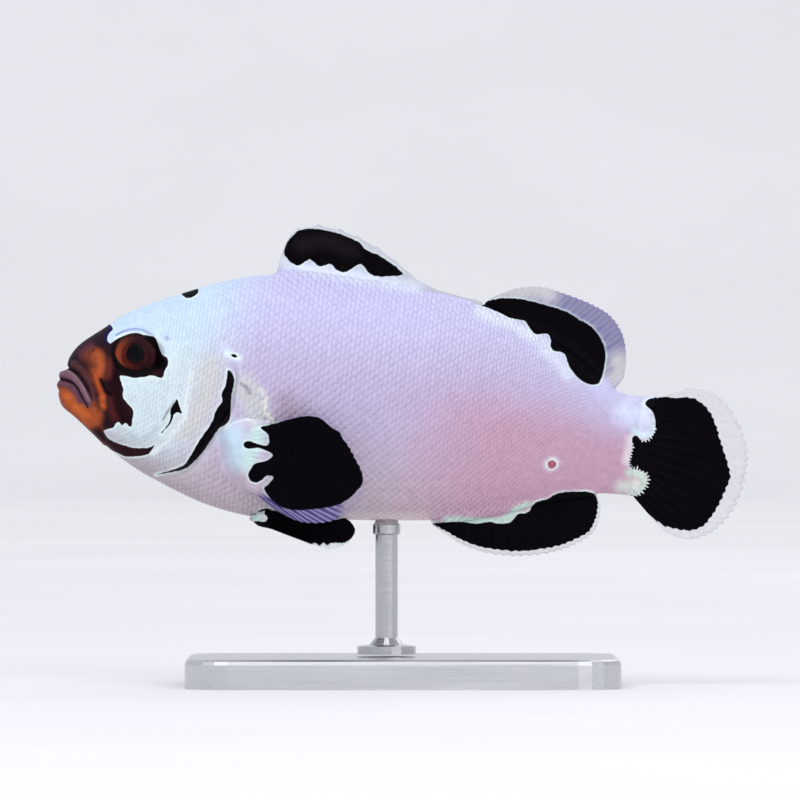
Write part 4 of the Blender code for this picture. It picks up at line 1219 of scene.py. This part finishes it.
def wireOf(shape, corners):
    verts = [shape.verts.new(corner) for corner in corners]
    return verts, [shape.edges.new(pair) for pair in zip(verts, verts[1:])]


def buildRodCap(material):
    low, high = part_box("stand_rod")
    top = high.z / mm
    radius, bevel = rodCap["radius"], rodCap["bevel"]
    foot, crown, shoulder = top - rodCap["below"], top + rodCap["above"], top + rodCap["shoulder"]
    profile = [(0.0, crown), (rodCap["neck"], crown), (radius - bevel, shoulder), (radius, shoulder - bevel),
               (radius, foot + bevel), (radius - bevel, foot), (0.0, foot)]
    shape = bmesh.new()
    verts, edges = wireOf(shape, [(x, 0.0, z) for x, z in profile])
    bmesh.ops.spin(shape, geom=verts + edges, cent=(0, 0, 0), axis=(0, 0, 1), angle=math.tau,
                   steps=rodCap["steps"], use_merge=True)
    bmesh.ops.remove_doubles(shape, verts=shape.verts, dist=0.001)
    bmesh.ops.scale(shape, vec=(mm, mm, mm), verts=shape.verts)
    bmesh.ops.translate(shape, vec=((low.x + high.x) / 2, (low.y + high.y) / 2, 0.0), verts=shape.verts)
    mesh = meshFrom(shape, "stand_cap")
    facesOut(mesh)
    mesh.set_sharp_from_angle(angle=math.radians(rodCap["sharp"]))
    addPiece("stand_cap", mesh, material)


# Each finish: name, colour, roughness, stretch and scale of its grain
standFinishes = {
    "stand_base": ("brushedPlate", tone(214, 215, 218), (0.26, 0.42), (1.0, 60.0, 60.0), 60.0),
    "stand_rod": ("turnedSteel", tone(196, 197, 200), (0.18, 0.32), (4.0, 4.0, 80.0), 80.0),
}


def finishStand():
    finishes = {node: metalMaterial(*finish) for node, finish in standFinishes.items()}
    for node, material in finishes.items():
        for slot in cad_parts[node].material_slots:
            slot.material = material
    buildRodCap(finishes["stand_rod"])
    print("stand finished")


# Floor, light and camera
stage = {"front": -2.4, "rear": 1.9, "curve": 0.7, "curveSteps": 12, "wall": 1.6, "halfWide": 2.6}
paper = {"low": tone(238, 238, 240), "high": tone(243, 243, 245), "scale": 9.0, "roughness": 0.9}
shot = {"lens": 400.0, "sensor": 36.0, "frameWide": 0.0925, "aim": (-0.00034, 0.03306), "clip": (0.01, 20.0)}
air = {"colour": (0.93, 0.95, 1.0, 1.0), "strength": 0.76}
fishMiddle = (0.0, 0.0, 0.033)
# Each lamp: place, the point it faces, size, power, colour
lamps = {
    "softTop": ((-0.25, -0.35, 0.75), fishMiddle, 0.60, 2.0, (0.95, 0.97, 1.0)),
    "softFront": ((0.42, -0.80, 0.42), fishMiddle, 0.60, 2.4, (1.0, 0.98, 0.97)),
    "softRear": ((0.35, 0.70, 0.55), fishMiddle, 0.50, 0.9, (0.97, 0.95, 1.0)),
    "wallWash": ((0.0, 1.30, 1.10), (0.0, 2.40, 0.05), 1.00, 3.4, (1.0, 0.99, 0.99)),
}


def buildStage():
    shape = bmesh.new()
    rear, curve = stage["rear"], stage["curve"]
    turns = np.linspace(0.0, math.pi / 2, stage["curveSteps"] + 1)
    profile = [(stage["front"], 0.0)]
    profile += [(rear + curve * math.sin(turn), curve * (1.0 - math.cos(turn))) for turn in turns]
    profile.append((rear + curve, stage["wall"]))
    _, edges = wireOf(shape, [(-stage["halfWide"], y, z) for y, z in profile])
    moved = bmesh.ops.extrude_edge_only(shape, edges=edges)["geom"]
    across = [item for item in moved if isinstance(item, bmesh.types.BMVert)]
    bmesh.ops.translate(shape, vec=(stage["halfWide"] * 2, 0, 0), verts=across)
    mesh = meshFrom(shape, "studioFloor")
    facesOut(mesh)
    floor = addObject("studioFloor", mesh)
    material, tree = newMaterial("palePaper")
    shade = ranged(tree, noise(tree, paper["scale"]), 0.3, 0.7)
    colour = coloured(tree, shade, paper["low"], paper["high"])
    showSurface(tree, principled(tree, {"Base Color": colour, "Roughness": paper["roughness"]}))
    mesh.materials.append(material)


def buildLight():
    world = bpy.data.worlds.new("studioAir")
    world.use_nodes = True
    ground = world.node_tree.nodes["Background"]
    ground.inputs["Color"].default_value = air["colour"]
    ground.inputs["Strength"].default_value = air["strength"]
    bpy.context.scene.world = world
    for name, (place, faced, size, power, colour) in lamps.items():
        lamp = bpy.data.lights.new(name, "AREA")
        lamp.size = size
        lamp.energy = power
        lamp.color = colour
        holder = addObject(name, lamp)
        holder.location = place
        holder.rotation_euler = (Vector(faced) - Vector(place)).to_track_quat("-Z", "Y").to_euler()


def buildCamera():
    lens = bpy.data.cameras.new("camera")
    lens.lens = shot["lens"]
    lens.sensor_width = shot["sensor"]
    lens.clip_start, lens.clip_end = shot["clip"]
    camera = addObject("camera", lens)
    away = shot["frameWide"] * shot["lens"] / shot["sensor"]
    camera.location = (shot["aim"][0], -away, shot["aim"][1])
    camera.rotation_euler = (math.pi / 2, 0.0, 0.0)
    bpy.context.scene.camera = camera
    bpy.context.scene.view_settings.view_transform = "Standard"


sides = ((-1, "left"), (1, "right"))


def buildScales():
    material = skinMaterial("pearlScale", shaded=True)
    headRoots = scaleRoots(coat["headRows"], *coat["headSpan"], headZone)
    trunkRoots = scaleRoots(coat["trunkRows"], *coat["trunkSpan"], trunkZone)
    fore = bodyPoint(trunkRoots[:, 0], trunkRoots[:, 1])[:, 0] < coat["trunkSplit"]
    zones = (("head", headRoots, coat["headRise"], 11), ("flank", trunkRoots[fore], 1.0, 21),
             ("rear", trunkRoots[~fore], 1.0, 31))
    scale = scaleTemplate(2, 4)
    for zone, roots, rise, seed in zones:
        for side, sideName in sides:
            name = f"scales_{zone}_{sideName}"
            buildCoat(name, side, roots, scale, coat["rise"] * rise, seed + side, material)


def buildFins():
    material = finMaterial("finWeb")
    for node in ("dorsal_fin_front", "dorsal_fin_rear", "anal_fin", "caudal_fin"):
        buildFin("web_" + node, finShapes[node], 0, node, material)
    for side, sideName in sides:
        for kind in ("pectoral_fin", "pelvic_fin"):
            node = kind + "_" + sideName
            buildFin("web_" + node, finShapes[kind], side, node, material)


def buildFish():
    buildSkin()
    buildScales()
    buildFins()
    iris, cornea = irisMaterial(), corneaMaterial()
    for side, sideName in sides:
        buildEyeball(side, sideName, iris)
        buildCornea(side, sideName, cornea)


buildCamera()
buildStage()
buildLight()
buildFish()
finishStand()
